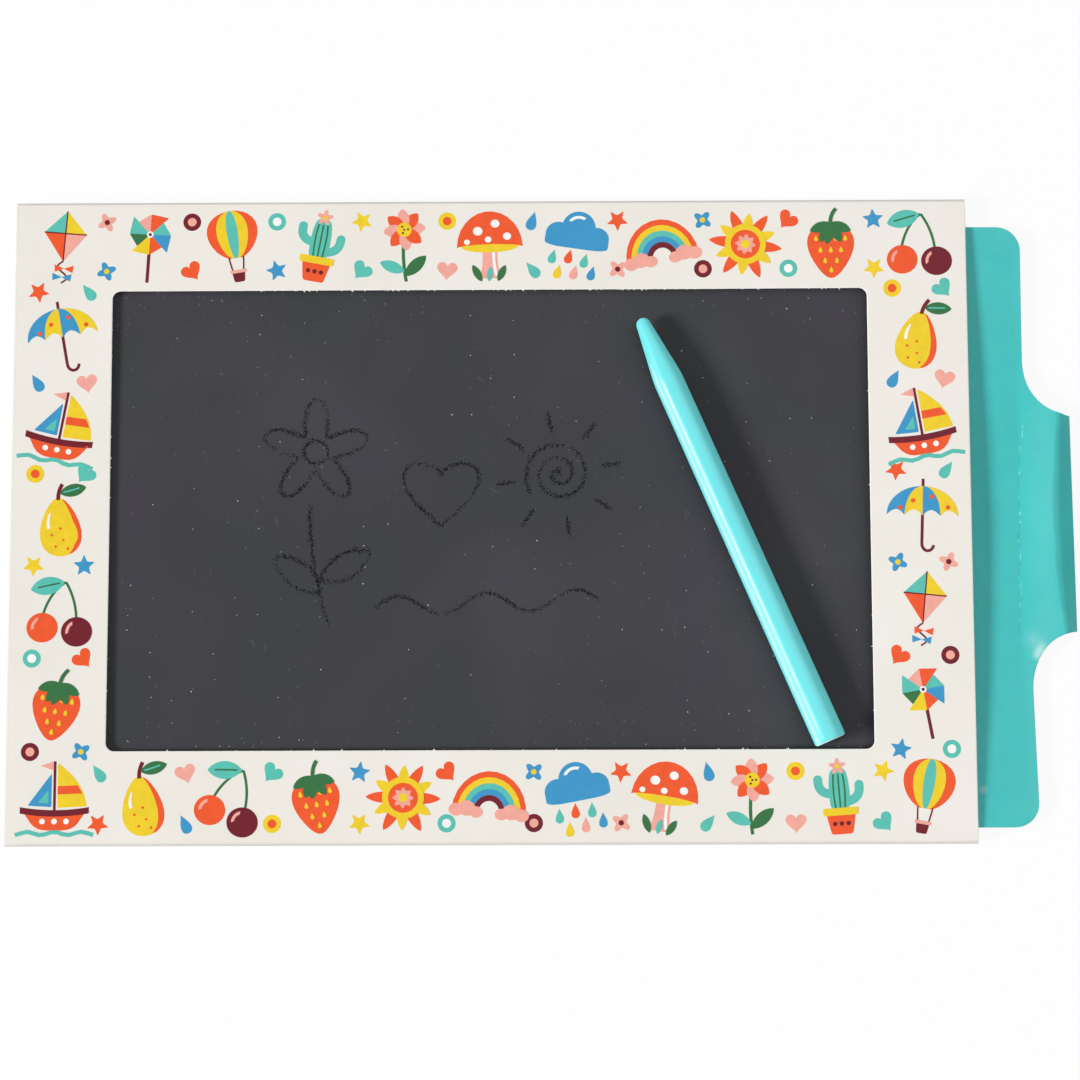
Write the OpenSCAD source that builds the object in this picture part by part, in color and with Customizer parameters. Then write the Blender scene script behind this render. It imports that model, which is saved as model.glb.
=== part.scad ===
// Drawing slate with a pull-to-wipe slide: a printed card sleeve with a window, a folded card slide that
// carries a waxed sheet and a film, a wiper bar between the two, and a loose stylus.
// Millimetres. X runs towards the pull tab, Y to the top edge, Z out of the drawing face.
// The origin is the centre of the sleeve's back.

/* [Sleeve] */
// Length of the sleeve along the slide
sleeve_w = 252; // [220:1:320]
// Height of the sleeve across the slide
sleeve_h = 170; // [150:1:220]
// Thickness of the sleeve's card
card_t = 0.6; // [0.4:0.05:1]
// Inner radius of the sleeve's folded edges
fold_inner_r = 0.6; // [0.2:0.1:1]
// Width of the glue flaps that turn in at the back
flap_w = 9; // [6:0.5:14]

/* [Window] */
// Border left of the window, at the closed end
border_left = 26; // [24:0.5:40]
// Border right of the window, at the mouth
border_right = 26.4; // [24:0.2:40]
// Border above the window
border_top = 24; // [16:0.5:36]
// Border below the window
border_bottom = 24.5; // [16:0.5:36]
// Corner radius of the window
window_r = 3; // [1:0.5:8]

/* [Guides and wiper] */
// Width of the upper and lower rails
rail_w = 2.7; // [2:0.1:6]
// Width of the rail at the closed end
end_rail_w = 2.4; // [2:0.1:5]
// Width of the wiper bar along the slide
bar_w = 6; // [4:0.5:7]
// Thickness of the wiper bar
bar_t = 0.4; // [0.3:0.05:0.8]
// Distance from the sleeve's mouth to the wiper bar
bar_inset = 13; // [10:0.5:16]
// Air left above and below each sliding layer
run_gap = 0.2; // [0.15:0.05:0.4]
// Air left between the slide's upper layer and the front
head_room = 0.55; // [0.3:0.05:1]

/* [Slide] */
// Thickness of the slide's card
slide_t = 0.6; // [0.4:0.05:1]
// Room between the centred slide and either rail
side_play = 1.85; // [0.5:0.05:3]
// Gap left between the slide and the lower rail where it lies
rest_gap = 0.25; // [0.2:0.05:0.4]
// Travel from the drawn pose until the slide meets the end rail
push_in = 10; // [4:0.5:10]
// How far the shoulders stand out of the mouth
shoulder_out = 14.8; // [14:0.2:24]
// Radius of the shoulders' outer corners
shoulder_r = 6.5; // [3:0.5:12]
// How far the tab's folded end stands out beyond the shoulders
tab_reach = 12.2; // [9:0.1:20]
// Length of the tab's folded end
tab_w = 57.2; // [40:0.2:70]
// Radius of the scoops beside the tab
scoop_r = 16; // [10:0.5:18]
// Distance from the shoulders back to the score line where the tab bends up
score_inset = 1.8; // [1:0.1:3]
// Horizontal run of the tab's sloping end
lip_run = 4.5; // [3:0.1:6]
// Height that the tab's upper layer gains from the score line to its crest
tab_rise = 2.2; // [0.5:0.1:3]
// Inner radius of the tab's folded end
end_bend_inner_r = 0.5; // [0.3:0.1:0.8]
// Inner radius of the bend along the tab's crest
crest_inner_r = 0.9; // [0.4:0.1:1.5]
// Inner radius of the gentle bend at the score line
score_inner_r = 3.3; // [1:0.1:6]
// Length of the upper layer inside the mouth
tab_lap = 10; // [6:0.5:12]

/* [Film and wax] */
// Thickness of the waxed sheet
wax_t = 0.2; // [0.1:0.05:0.4]
// Thickness of the writing film
film_t = 0.15; // [0.1:0.01:0.3]
// Margin between the film's long edges and the slide's
film_margin = 3; // [2:0.5:8]
// Length of film held under the slide's upper layer
film_lap = 8; // [4:0.5:9]
// Width of the stop strip at the slide's far end
stop_w = 8; // [5:0.5:9]
// Thickness of the double-sided tapes
tape_t = 0.1; // [0.05:0.01:0.2]
// Width of the double-sided tapes
tape_w = 5; // [3:0.5:6]

/* [Stylus] */
// Length of the stylus
stylus_l = 120.8; // [90:0.2:140]
// Diameter of the barrel where the taper starts
stylus_d = 7.9; // [6:0.1:10]
// Diameter of the barrel at its flat end
stylus_end_d = 8.2; // [6:0.1:10]
// Length of the taper
taper_l = 20; // [12:0.5:30]
// Radius of the rounded tip
tip_r = 1.9; // [1:0.1:2.5]
// Bevel round the flat end
end_bevel = 0.4; // [0.2:0.1:0.8]
// Gap between the stylus and the film under it
stylus_gap = 0.15; // [0.1:0.05:0.3]
// Distance from the window's upper edge to the tip
tip_inset = 8.1; // [5:0.1:30]
// Distance from the window's lower edge to the centre of the flat end
end_inset = 2.2; // [1.8:0.1:8]
// Distance from the window's right edge to the centre of the flat end
end_inset_x = 12.1; // [6:0.1:30]

/* [Hidden] */
$fn = 64;
// Overshoot of a cutting shape past the face that it cuts
over = 1;

// Heights of the layers, from the back up
z_back = card_t;
z_flap = z_back + card_t;
z_low = z_flap + run_gap;
z_wax = z_low + slide_t;
z_wax_top = z_wax + wax_t;
z_bar = z_wax_top + run_gap;
z_film = z_bar + bar_t + run_gap;
z_film_top = z_film + film_t;
z_high = z_film_top + tape_t;
z_front = z_high + slide_t + head_room;
sleeve_t = z_front + card_t;

// The sleeve's mouth, its walls and the window
mouth_x = sleeve_w / 2;
fold_r = fold_inner_r + card_t;
wall_in_y = sleeve_h / 2 - card_t;
// The rails stand clear of the round inside of the folds
rail_out_y = wall_in_y - fold_inner_r;
rail_in_y = rail_out_y - rail_w;
rail_left = -mouth_x + card_t + fold_inner_r;
window_left = -mouth_x + border_left;
window_right = mouth_x - border_right;
window_low = -sleeve_h / 2 + border_bottom;
window_high = sleeve_h / 2 - border_top;

// The slide where it lies, pressed down to the lower rail by its own weight
slide_h = 2 * (rail_in_y - side_play);
slide_y = rest_gap - side_play;
slide_left = rail_left + end_rail_w + push_in + run_gap;
shoulder_x = mouth_x + shoulder_out;
fold_x = shoulder_x + tab_reach;
score_x = shoulder_x - score_inset;
crest_x = fold_x - lip_run;
lap_x = mouth_x - tab_lap;
film_right = lap_x + film_lap;
film_h = slide_h - 2 * film_margin;

// The stylus leans as far as its length needs between the window's upper and lower edges
stylus_rise = min(stylus_l, window_high - window_low - tip_inset - end_inset);
stylus_lean = acos(stylus_rise / stylus_l);
stylus_r = max(stylus_d, stylus_end_d) / 2;

// Radii of the slide's bends, along the middle of its card
end_bend_r = end_bend_inner_r + slide_t / 2;
crest_bend_r = crest_inner_r + slide_t / 2;
score_bend_r = score_inner_r + slide_t / 2;
// Chords in each bend, and in the stylus's round tip
bend_steps = 8;
tip_steps = 10;

function unit(v) = v / norm(v);

// Arc of radius r that rounds the corner b between a and c, as points
function bend(a, b, c, r) =
    let (
        u = unit(a - b),
        w = unit(c - b),
        half = acos(u * w) / 2,
        centre = b + unit(u + w) * r / sin(half),
        first = b + u * r / tan(half) - centre,
        start = atan2(first.y, first.x),
        step = sign(cross(b - a, c - b)) * (180 - 2 * half) / bend_steps
    )
    [for (i = [0 : bend_steps]) centre + r * [cos(start + i * step), sin(start + i * step)]];

// Left-hand normal of a path at its point i, averaged over the two chords that meet there
function normal(path, i) =
    let (
        back = i > 0 ? unit(path[i] - path[i - 1]) : [0, 0],
        ahead = i < len(path) - 1 ? unit(path[i + 1] - path[i]) : [0, 0],
        t = unit(back + ahead)
    )
    [-t.y, t.x];

// Closed outline of a sheet of thickness t that follows a path along its middle
function sheet(path, t) =
    let (last = len(path) - 1)
    concat(
        [for (i = [0 : last]) path[i] + normal(path, i) * t / 2],
        [for (i = [last : -1 : 0]) path[i] - normal(path, i) * t / 2]
    );

// Middle line of the slide's folded card in X and Z
function slide_path() =
    let (
        low = z_low + slide_t / 2,
        high = z_high + slide_t / 2,
        crest = [crest_x, high + tab_rise],
        // The lip runs from the crest down to a tangent of the end bend, and the path's corner lies beyond it
        bend_centre = [fold_x - slide_t / 2 - end_bend_r, low + end_bend_r],
        drop = crest - bend_centre,
        lip_lean = atan2(drop.y, -drop.x) - asin(end_bend_r / norm(drop)),
        corner = [bend_centre.x + end_bend_r / tan(lip_lean / 2), low],
        far_end = [slide_left, low],
        score = [score_x, high],
        near_end = [lap_x, high]
    )
    concat(
        [far_end],
        bend(far_end, corner, crest, end_bend_r),
        bend(corner, crest, score, crest_bend_r),
        bend(crest, score, near_end, score_bend_r),
        [near_end]
    );

// Block between two opposite corners
module block(low, high) {
    translate(low) cube(high - low);
}

// Flat rectangle with round corners, between two opposite corners
module round_rect(low, high, r) {
    translate([low.x + r, low.y]) square([high.x - low.x - 2 * r, high.y - low.y]);
    translate([low.x, low.y + r]) square([high.x - low.x, high.y - low.y - 2 * r]);
    for (x = [low.x + r, high.x - r], y = [low.y + r, high.y - r]) {
        translate([x, y]) circle(r);
    }
}

// Card folded round a rectangle: the outline of the fold, one card thick
module folded_ring(low, high) {
    inset = [card_t, card_t];
    difference() {
        round_rect(low, high, fold_r);
        round_rect(low + inset, high - inset, fold_inner_r);
    }
}

// Front with its upper and lower edges, folded down and turned in at the back
module long_folds() {
    half = sleeve_h / 2;
    translate([-mouth_x, 0, 0]) rotate([90, 0, 90]) linear_extrude(sleeve_w) {
        difference() {
            folded_ring([-half, z_back], [half, sleeve_t]);
            translate([flap_w - half, z_back - over]) square([sleeve_h - 2 * flap_w, card_t + 2 * over]);
        }
    }
}

// Closed end: a short fold from the front down to its own flap, clear of the long folds at both corners
module end_fold() {
    reach = sleeve_h / 2 - fold_r;
    translate([-mouth_x, reach, 0]) rotate([90, 0, 0]) linear_extrude(2 * reach) {
        intersection() {
            folded_ring([0, z_back], [sleeve_w, sleeve_t]);
            union() {
                square([fold_r, sleeve_t]);
                square([flap_w, z_flap]);
            }
        }
    }
}

module front_cover() {
    corner_y = sleeve_h / 2 - fold_r;
    color("linen") {
        difference() {
            long_folds();
            block([-mouth_x - over, -corner_y, 0], [-mouth_x + fold_r, corner_y, sleeve_t + over]);
            translate([0, 0, z_front - over]) linear_extrude(card_t + 2 * over) {
                round_rect([window_left, window_low], [window_right, window_high], window_r);
            }
        }
        end_fold();
    }
}

module back_panel() {
    color("white") {
        block([-mouth_x, -sleeve_h / 2, 0], [mouth_x, sleeve_h / 2, z_back]);
    }
}

// Rail along one long edge: side is 1 for the upper edge and -1 for the lower one
module rail(side) {
    middle = side * (rail_in_y + rail_out_y) / 2;
    block(
        [rail_left, middle - rail_w / 2, z_flap],
        [mouth_x - card_t, middle + rail_w / 2, z_bar]
    );
}

module upper_rail() {
    color("darkgray") rail(1);
}

module lower_rail() {
    color("darkgray") rail(-1);
}

module end_rail() {
    color("darkgray") {
        block([rail_left, -rail_in_y, z_flap], [rail_left + end_rail_w, rail_in_y, z_bar]);
    }
}

module wiper_bar() {
    right = mouth_x - bar_inset;
    color("gainsboro") {
        block([right - bar_w, -wall_in_y, z_bar], [right, wall_in_y, z_bar + bar_t]);
    }
}

// Plan of the slide: a long sheet with round shoulders, and a tab between two scoops
module slide_plan() {
    scoop_run = sqrt(pow(scoop_r, 2) - pow(max(scoop_r - tab_reach, 0), 2));
    root_y = tab_w / 2 + scoop_run;
    scoop_x = shoulder_x + scoop_r;
    half = slide_h / 2;
    translate([slide_left, -half]) square([shoulder_x - shoulder_r - slide_left, slide_h]);
    translate([slide_left, shoulder_r - half]) square([shoulder_x - slide_left, slide_h - 2 * shoulder_r]);
    for (side = [-1, 1]) {
        translate([shoulder_x - shoulder_r, side * (half - shoulder_r)]) circle(shoulder_r);
    }
    difference() {
        translate([shoulder_x - over, -root_y]) square([tab_reach + 2 * over, 2 * root_y]);
        for (side = [-1, 1]) {
            translate([scoop_x, side * root_y]) circle(scoop_r);
            translate([scoop_x, side * root_y - scoop_r]) square(2 * scoop_r);
        }
    }
}

module slide_card() {
    color("mediumturquoise") {
        translate([0, slide_y, 0]) intersection() {
            translate([0, slide_h / 2, 0]) rotate([90, 0, 0]) linear_extrude(slide_h) {
                polygon(sheet(slide_path(), slide_t));
            }
            linear_extrude(z_high + tab_rise + 2 * slide_t) slide_plan();
        }
    }
}

// Strip across the slide, as wide as the film, between two places along X and two heights
module film_strip(left, right, low, high) {
    block([left, slide_y - film_h / 2, low], [right, slide_y + film_h / 2, high]);
}

module waxed_sheet() {
    color("dimgray") film_strip(slide_left, film_right, z_wax, z_wax_top);
}

module stop_strip() {
    color("darkgray") film_strip(slide_left, slide_left + stop_w, z_wax_top, z_film - tape_t);
}

module film_tape_left() {
    middle = slide_left + stop_w / 2;
    color("ivory") film_strip(middle - tape_w / 2, middle + tape_w / 2, z_film - tape_t, z_film);
}

module film_tape_right() {
    middle = lap_x + film_lap / 2;
    color("ivory") film_strip(middle - tape_w / 2, middle + tape_w / 2, z_film_top, z_high);
}

module writing_film() {
    color("dimgray") film_strip(slide_left, film_right, z_film, z_film_top);
}

// Stylus along Z, with its tip at the origin: an arc for the tip, a taper, the barrel and a bevelled flat end
module stylus_upright() {
    lean = atan2(stylus_d / 2 - tip_r, taper_l - tip_r);
    tip_turn = (90 - lean) / tip_steps;
    end_r = stylus_end_d / 2;
    rotate_extrude() {
        polygon(concat(
            [for (i = [0 : tip_steps]) tip_r * [sin(i * tip_turn), 1 - cos(i * tip_turn)]],
            [
                [stylus_d / 2, taper_l],
                [end_r, stylus_l - end_bevel],
                [end_r - end_bevel, stylus_l],
                [0, stylus_l]
            ]
        ));
    }
}

module stylus() {
    end_x = window_right - end_inset_x;
    end_y = window_low + end_inset;
    color("turquoise") {
        translate([end_x, end_y, z_film_top + stylus_gap + stylus_r]) rotate([0, 0, stylus_lean]) {
            translate([0, stylus_l, 0]) rotate([90, 0, 0]) stylus_upright();
        }
    }
}

front_cover();
back_panel();
upper_rail();
lower_rail();
end_rail();
wiper_bar();
slide_card();
waxed_sheet();
stop_strip();
film_tape_left();
film_tape_right();
writing_film();
stylus();
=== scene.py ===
# %% [markdown]
# # Dressing a drawing slate
#
# The object is a child's drawing slate. A flat card sleeve has a window, a dark film under the window
# is written on with a loose plastic stylus, and a card slide wipes the film when its tab is pulled.
# A CAD model already fixes every size and every joint. This lesson loads it as a frame that never
# moves and builds the looks around it: new skins where the CAD solid is too plain, and a procedural
# finish for every surface that shows.

# %% Load the frame
import math
from functools import reduce

import bpy
import numpy as np
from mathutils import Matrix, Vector


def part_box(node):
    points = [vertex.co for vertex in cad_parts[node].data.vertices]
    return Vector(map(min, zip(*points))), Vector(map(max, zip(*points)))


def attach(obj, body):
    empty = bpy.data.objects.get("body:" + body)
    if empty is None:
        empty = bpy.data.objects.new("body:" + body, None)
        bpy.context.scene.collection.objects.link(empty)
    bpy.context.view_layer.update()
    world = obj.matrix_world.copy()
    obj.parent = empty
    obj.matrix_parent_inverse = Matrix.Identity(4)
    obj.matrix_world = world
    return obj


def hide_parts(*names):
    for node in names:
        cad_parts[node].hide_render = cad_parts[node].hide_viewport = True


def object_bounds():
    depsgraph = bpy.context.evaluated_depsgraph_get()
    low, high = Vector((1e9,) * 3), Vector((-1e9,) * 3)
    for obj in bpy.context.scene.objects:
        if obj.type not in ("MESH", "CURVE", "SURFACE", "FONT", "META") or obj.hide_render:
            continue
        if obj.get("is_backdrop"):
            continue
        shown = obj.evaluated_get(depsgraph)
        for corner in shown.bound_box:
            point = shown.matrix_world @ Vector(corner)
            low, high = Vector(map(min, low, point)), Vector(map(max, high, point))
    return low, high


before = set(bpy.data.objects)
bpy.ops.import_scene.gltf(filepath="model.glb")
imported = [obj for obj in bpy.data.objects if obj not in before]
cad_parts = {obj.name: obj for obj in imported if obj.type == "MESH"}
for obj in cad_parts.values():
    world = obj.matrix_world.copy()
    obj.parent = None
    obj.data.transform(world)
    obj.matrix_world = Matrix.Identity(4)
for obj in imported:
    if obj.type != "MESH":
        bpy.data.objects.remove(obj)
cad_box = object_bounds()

MM = 0.001
print("nodes:", ", ".join(sorted(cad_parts)))
print("CAD box in mm:", [[round(c / MM, 1) for c in corner] for corner in cad_box])

# %% [markdown]
# ## Camera
#
# The slate is seen from almost straight above, a little from its lower edge. A camera's lens and place
# can be guessed by eye, but here they were fitted: known corners of the sleeve, the window and the tab
# were matched to where they appear. The focal length is given in pixels of a square picture, and
# Blender's lens follows from it and the sensor width.

# %% Camera
PICTURE_PX = 1080
FOCAL_PX = 2600
CAMERA_PLACE = (16.9, -83.2, 681.0)
CAMERA_TURN = (6.538, 0.351, -0.172)

scene = bpy.context.scene
scene.view_settings.view_transform = "Standard"
lens = bpy.data.cameras.new("slate_camera")
lens.lens = lens.sensor_width * FOCAL_PX / PICTURE_PX
camera = bpy.data.objects.new("slate_camera", lens)
camera.location = Vector(CAMERA_PLACE) * MM
camera.rotation_euler = np.radians(CAMERA_TURN)
scene.collection.objects.link(camera)
scene.camera = camera
print(f"camera lens {lens.lens:.1f} mm, {camera.location.z:.3f} m above the table")

# %% [markdown]
# ## Shader nodes in a few words
#
# Every finish in this lesson is a small tree of shader nodes. Written out in full, such a tree takes
# dozens of lines, so a few helpers keep it short. They add a node, do arithmetic, mix colours, stretch
# a value between two limits and turn a screen colour into a shader colour. An input that is given a
# socket is linked to it, and any other value is set on it. A socket knows the tree that it is in.

# %% Node helpers
def feed(socket, value):
    """Links a socket to the input, or sets a plain value on it."""
    if isinstance(value, bpy.types.NodeSocket):
        socket.id_data.links.new(value, socket)
    else:
        socket.default_value = value


def add(tree, kind, props=None, **inputs):
    """Adds a shader node, sets its properties and feeds its inputs, with _ for a space in their names."""
    made = tree.nodes.new("ShaderNode" + kind)
    for name, value in (props or {}).items():
        setattr(made, name, value)
    for name, value in inputs.items():
        feed(made.inputs[name.replace("_", " ")], value)
    return made


def here(tree):
    """Place on the piece's own Object coordinates, in metres."""
    return add(tree, "TexCoord").outputs["Object"]


kinds = [kind for kind in dir(bpy.types) if kind.startswith("ShaderNode")]
print(len(kinds), "names in bpy.types start with ShaderNode")

# %% Arithmetic and colour
def calc(operation, *values):
    """One step of arithmetic on sockets and numbers, with a socket first."""
    made = add(values[0].id_data, "Math", {"operation": operation})
    for socket, value in zip(made.inputs, values):
        feed(socket, value)
    return made.outputs[0]


def times(*values):
    """Product of sockets and numbers, with a socket first."""
    return reduce(lambda product, value: calc("MULTIPLY", product, value), values)


def ramp(value, low, high, first=0.0, last=1.0):
    """Value stretched so that low becomes first and high becomes last, and held at those outside."""
    limits = dict(From_Min=low, From_Max=high, To_Min=first, To_Max=last)
    return add(value.id_data, "MapRange", Value=value, **limits).outputs[0]


def blend(share, first, second):
    """Colour between two colours: the first where share is 0, the second where it is 1."""
    made = add(share.id_data, "Mix", {"data_type": "RGBA"})
    for number, value in zip((0, 6, 7), (share, first, second)):
        feed(made.inputs[number], value)
    return made.outputs[2]


def rgb(tone):
    """Shader colour of a screen colour from 0 to 255: the screen's gamma curve undone, fully opaque."""
    screen = np.array(tone) / 255.0
    linear = np.where(screen <= 0.04045, screen / 12.92, ((screen + 0.055) / 1.055) ** 2.4)
    return (*linear.tolist(), 1.0)


print("white card as a shader colour:", [round(c, 3) for c in rgb((236, 232, 224))])

# %% [markdown]
# ## Stage and light
#
# The slate lies on a white table in soft studio light. The background is to be white without pouring
# more light on the object, so floor and world shine by themselves only where they are looked at, straight
# or in a reflection. Near the slate the floor keeps a share of its real shading, and with it the shadow.

# %% White floor and world
FLOOR_HALF, FLOOR_DROP = 4.0, 0.0002
FLOOR_GLOW, GLOW_RANGE = 0.92, (0.4, 1.4)
FILL_LIGHT = 0.26
WHITE, FLOOR_GREY = (1.0, 1.0, 1.0, 1.0), (0.9, 0.9, 0.9, 1.0)


def looked_at(tree):
    """1 for rays from the camera, straight or by a reflection or a clear piece, and 0 for rays of light."""
    rays = add(tree, "LightPath").outputs
    mirrored = calc("MAXIMUM", rays["Is Glossy Ray"], rays["Is Transmission Ray"])
    return calc("MAXIMUM", rays["Is Camera Ray"], mirrored)


world = bpy.data.worlds.new("studio")
world.use_nodes = True
scene.world = world
sky = world.node_tree.nodes["Background"].inputs
feed(sky["Color"], WHITE)
feed(sky["Strength"], ramp(looked_at(world.node_tree), 0.0, 1.0, FILL_LIGHT, 1.0))

corners = [(x * FLOOR_HALF, y * FLOOR_HALF, -FLOOR_DROP) for x, y in ((-1, -1), (1, -1), (1, 1), (-1, 1))]
floor_mesh = bpy.data.meshes.new("floor")
floor_mesh.from_pydata(corners, [], [(0, 1, 2, 3)])
floor = bpy.data.objects.new("floor", floor_mesh)
scene.collection.objects.link(floor)
floor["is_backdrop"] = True

floor_paint = bpy.data.materials.new("floor_paint")
floor_paint.use_nodes = True
tree = floor_paint.node_tree
away = add(tree, "VectorMath", {"operation": "LENGTH"}, Vector=here(tree)).outputs["Value"]
mixed = add(tree, "MixShader", Fac=times(looked_at(tree), ramp(away, *GLOW_RANGE, FLOOR_GLOW, 1.0)))
feed(mixed.inputs[1], add(tree, "BsdfDiffuse", Color=FLOOR_GREY).outputs[0])
feed(mixed.inputs[2], add(tree, "Emission", Color=WHITE, Strength=1.0).outputs[0])
feed(tree.nodes["Material Output"].inputs["Surface"], mixed.outputs[0])
floor_mesh.materials.append(floor_paint)
print("floor", FLOOR_DROP / MM, "mm under the slate's back")

# %% Softboxes
AIM = Vector((10.0, 0.0, 0.0)) * MM


def softbox(name, place, size, power):
    """Square lamp at a place in metres, turned to face the slate."""
    lamp = bpy.data.lights.new(name, "AREA")
    lamp.shape = "RECTANGLE"
    lamp.size, lamp.size_y = size, size
    lamp.energy = power
    box = bpy.data.objects.new(name, lamp)
    box.location = place
    box.rotation_euler = (AIM - box.location).to_track_quat("-Z", "Y").to_euler()
    scene.collection.objects.link(box)


softbox("key_box", (-5.60, -1.58, 3.86), 1.7, 432.0)
softbox("over_box", (1.10, 0.25, 2.00), 2.4, 19.6)
print("a small box low on the left, a wide one above on the right, and a white room")

# %% [markdown]
# ## From arrays to pieces
#
# A shape here is a function of two parameters, worked out on a whole grid at once with numpy. Blender
# could build the same shapes with operators, but arrays keep the formula in view and make the same
# mesh on every run. All lengths are millimetres until a piece is made, because card is thought of in
# millimetres, and Blender's frame is in metres.

# %% Grid helpers
def stack(*axes):
    """Points, or faces, from an array or a plain number for each of their columns."""
    return np.stack(np.broadcast_arrays(*axes), axis=-1)


def grid_quads(rows, cols, wrap=False):
    """Corner numbers of the quads in a grid of points numbered row by row; wrap closes the last column."""
    row = np.arange(rows - 1)[:, None] * cols
    col = np.arange(cols if wrap else cols - 1)[None, :]
    after = (col + 1) % cols
    return stack(row + col, row + after, row + cols + after, row + cols + col).reshape(-1, 4)


def weld(points, faces, step=1e-4):
    """Merges points that agree to a step, and numbers the faces anew; also drops points without a face."""
    used, faces = np.unique(faces, return_inverse=True)
    points = points[used]
    cells = np.round(points / step).astype(np.int64)
    first, number = np.unique(cells, axis=0, return_index=True, return_inverse=True)[1:]
    return points[first], number.reshape(-1)[faces.reshape(-1, 4)], used[first]


def join(meshes):
    """Several meshes as one: the face numbers of each are moved past the points of those before it."""
    points, faces = zip(*meshes)
    starts = np.cumsum([0, *map(len, points)])
    moved = [[start + corner for corner in face] for start, mesh in zip(starts, faces) for face in mesh]
    return np.vstack(points), moved


def smooth(value):
    """Soft step: 3t² - 2t³ of the value held between 0 and 1."""
    held = np.clip(value, 0.0, 1.0)
    return held * held * (3.0 - 2.0 * held)


def node_box(name):
    """Lowest and highest corner of a CAD node, in millimetres."""
    return [np.array(corner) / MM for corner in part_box(name)]


print("a 3 x 4 grid has", len(grid_quads(3, 4)), "quads")

# %% Piece helpers
CREASE = math.radians(40)


def make_piece(name, points, faces, body, slot, *finishes):
    """Puts points in millimetres and their faces into a smooth mesh that rides on a CAD body."""
    mesh = bpy.data.meshes.new(name)
    mesh.from_pydata(np.asarray(points) * MM, [], faces)
    for finish in finishes:
        mesh.materials.append(finish)
    mesh.shade_smooth()
    piece = bpy.data.objects.new(name, mesh)
    scene.collection.objects.link(piece)
    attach(piece, body)
    return piece


def mark_points(piece, name, values):
    """Stores a number for each point of a piece, for its finish to read."""
    marks = piece.data.attributes.new(name, "FLOAT", "POINT")
    marks.data.foreach_set("value", values.astype(np.float32))


def make_wall(piece, thickness, side, inner=0, rim=0):
    """Gives a skin its card thickness with Solidify, then settles it: modifier applied, creases sharp.

    side is -1 to grow inwards and 0 to grow both ways; inner and rim are the material numbers there.
    """
    wall = piece.modifiers.new("wall", "SOLIDIFY")
    wall.thickness = thickness * MM
    wall.offset = side
    wall.use_even_offset = True
    wall.material_offset = inner
    wall.material_offset_rim = rim
    seen = piece.evaluated_get(bpy.context.evaluated_depsgraph_get())
    solid = bpy.data.meshes.new_from_object(seen)
    piece.modifiers.clear()
    piece.data = solid
    solid.set_sharp_from_angle(angle=CREASE)


def report(piece):
    """Prints a piece's size, so that a slip in a formula shows at once."""
    size = [round(d / MM, 2) for d in piece.dimensions]
    print(f"{piece.name}: {len(piece.data.polygons)} faces, {size} mm")


print(f"edges that bend by more than {math.degrees(CREASE):.0f} degrees are made sharp")

# %% [markdown]
# ## A finish made of patches, grain and wear
#
# Card, ink, board and plastic look different, but they share a recipe. The colour drifts between two
# close tones in soft blotches, the roughness drifts too, and a fine grain gives the light something to
# catch. Noise on the piece's own Object coordinates does all three at a real size, so nothing slides
# when a piece moves. What makes each finish special is then laid over that base, one mask at a time.

# %% Finish helpers
EVEN = (1.0, 1.0, 1.0)


def noise(tree, size, detail=2.0, stretch=EVEN):
    """Soft noise from 0 to 1 with blotches about size mm across, drawn out by stretch along X, Y, Z."""
    scale = tuple(1.0 / (size * MM * draw) for draw in stretch)
    spread = add(tree, "Mapping", Vector=here(tree), Scale=scale).outputs[0]
    return add(tree, "TexNoise", Vector=spread, Scale=1.0, Detail=detail).outputs[0]


def blotches(tree, size, low, high, top=1.0, detail=2.0, stretch=EVEN):
    """Noise as a mask: 0 where it is under low, top where it is over high."""
    return ramp(noise(tree, size, detail, stretch), low, high, 0.0, top)


def specks(tree, cell, radius, share):
    """1 on dots of up to a radius in mm, one in each cell of a scattered lattice, in a share of the cells."""
    flat = {"voronoi_dimensions": "2D"}
    lattice = add(tree, "TexVoronoi", flat, Vector=here(tree), Scale=1.0 / (cell * MM)).outputs
    lots = add(tree, "SeparateColor", Color=lattice["Color"]).outputs
    reach = ramp(lots[1], 0.0, 1.0, 0.3 * radius / cell, radius / cell)
    return times(calc("LESS_THAN", lots[0], share), ramp(lattice["Distance"], reach, times(reach, 0.4)))


print("blotches of 1 mm take a noise scale of", 1.0 / MM, "on Object coordinates")

# %% Finish recipe
def shader(finish):
    """Inputs of a finish's main shader."""
    return finish.node_tree.nodes["Principled BSDF"].inputs


def mottled(name, tone, other, blotch, rough, grain, depth, stretch=EVEN, shine=0.2):
    """Finish between two tones in blotches, with drifting roughness and a fine grain; sizes in mm."""
    finish = bpy.data.materials.new(name)
    finish.use_nodes = True
    tree = finish.node_tree
    patches = blotches(tree, blotch, 0.35, 0.65, detail=4.0)
    drift = ramp(noise(tree, 0.4 * blotch), 0.3, 0.7, 0.85 * rough, min(1.0, 1.15 * rough))
    relief = add(tree, "Bump", Strength=1.0, Distance=depth * MM, Height=noise(tree, grain, 3.0, stretch))
    feed(shader(finish)["Base Color"], blend(patches, rgb(tone), rgb(other)))
    feed(shader(finish)["Roughness"], drift)
    feed(shader(finish)["Normal"], relief.outputs[0])
    feed(shader(finish)["Specular IOR Level"], shine)
    return finish


def lay_over(finish, tone, *masks):
    """Lays a tone over a finish where the product of the masks is 1."""
    colour = shader(finish)["Base Color"]
    feed(colour, blend(times(*masks), colour.links[0].from_socket, rgb(tone)))


print("materials so far:", ", ".join(bpy.data.materials.keys()))

# %% [markdown]
# ## Card finishes
#
# The sleeve is 0.6 mm carton board: cream and softly coated outside, duller and greyer inside, white
# and fibrous where it is cut. Folding breaks the coating a little, so the folds carry greyish scuffs. A
# per-point attribute called wear marks where handling reaches, and noise breaks it up.

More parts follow.
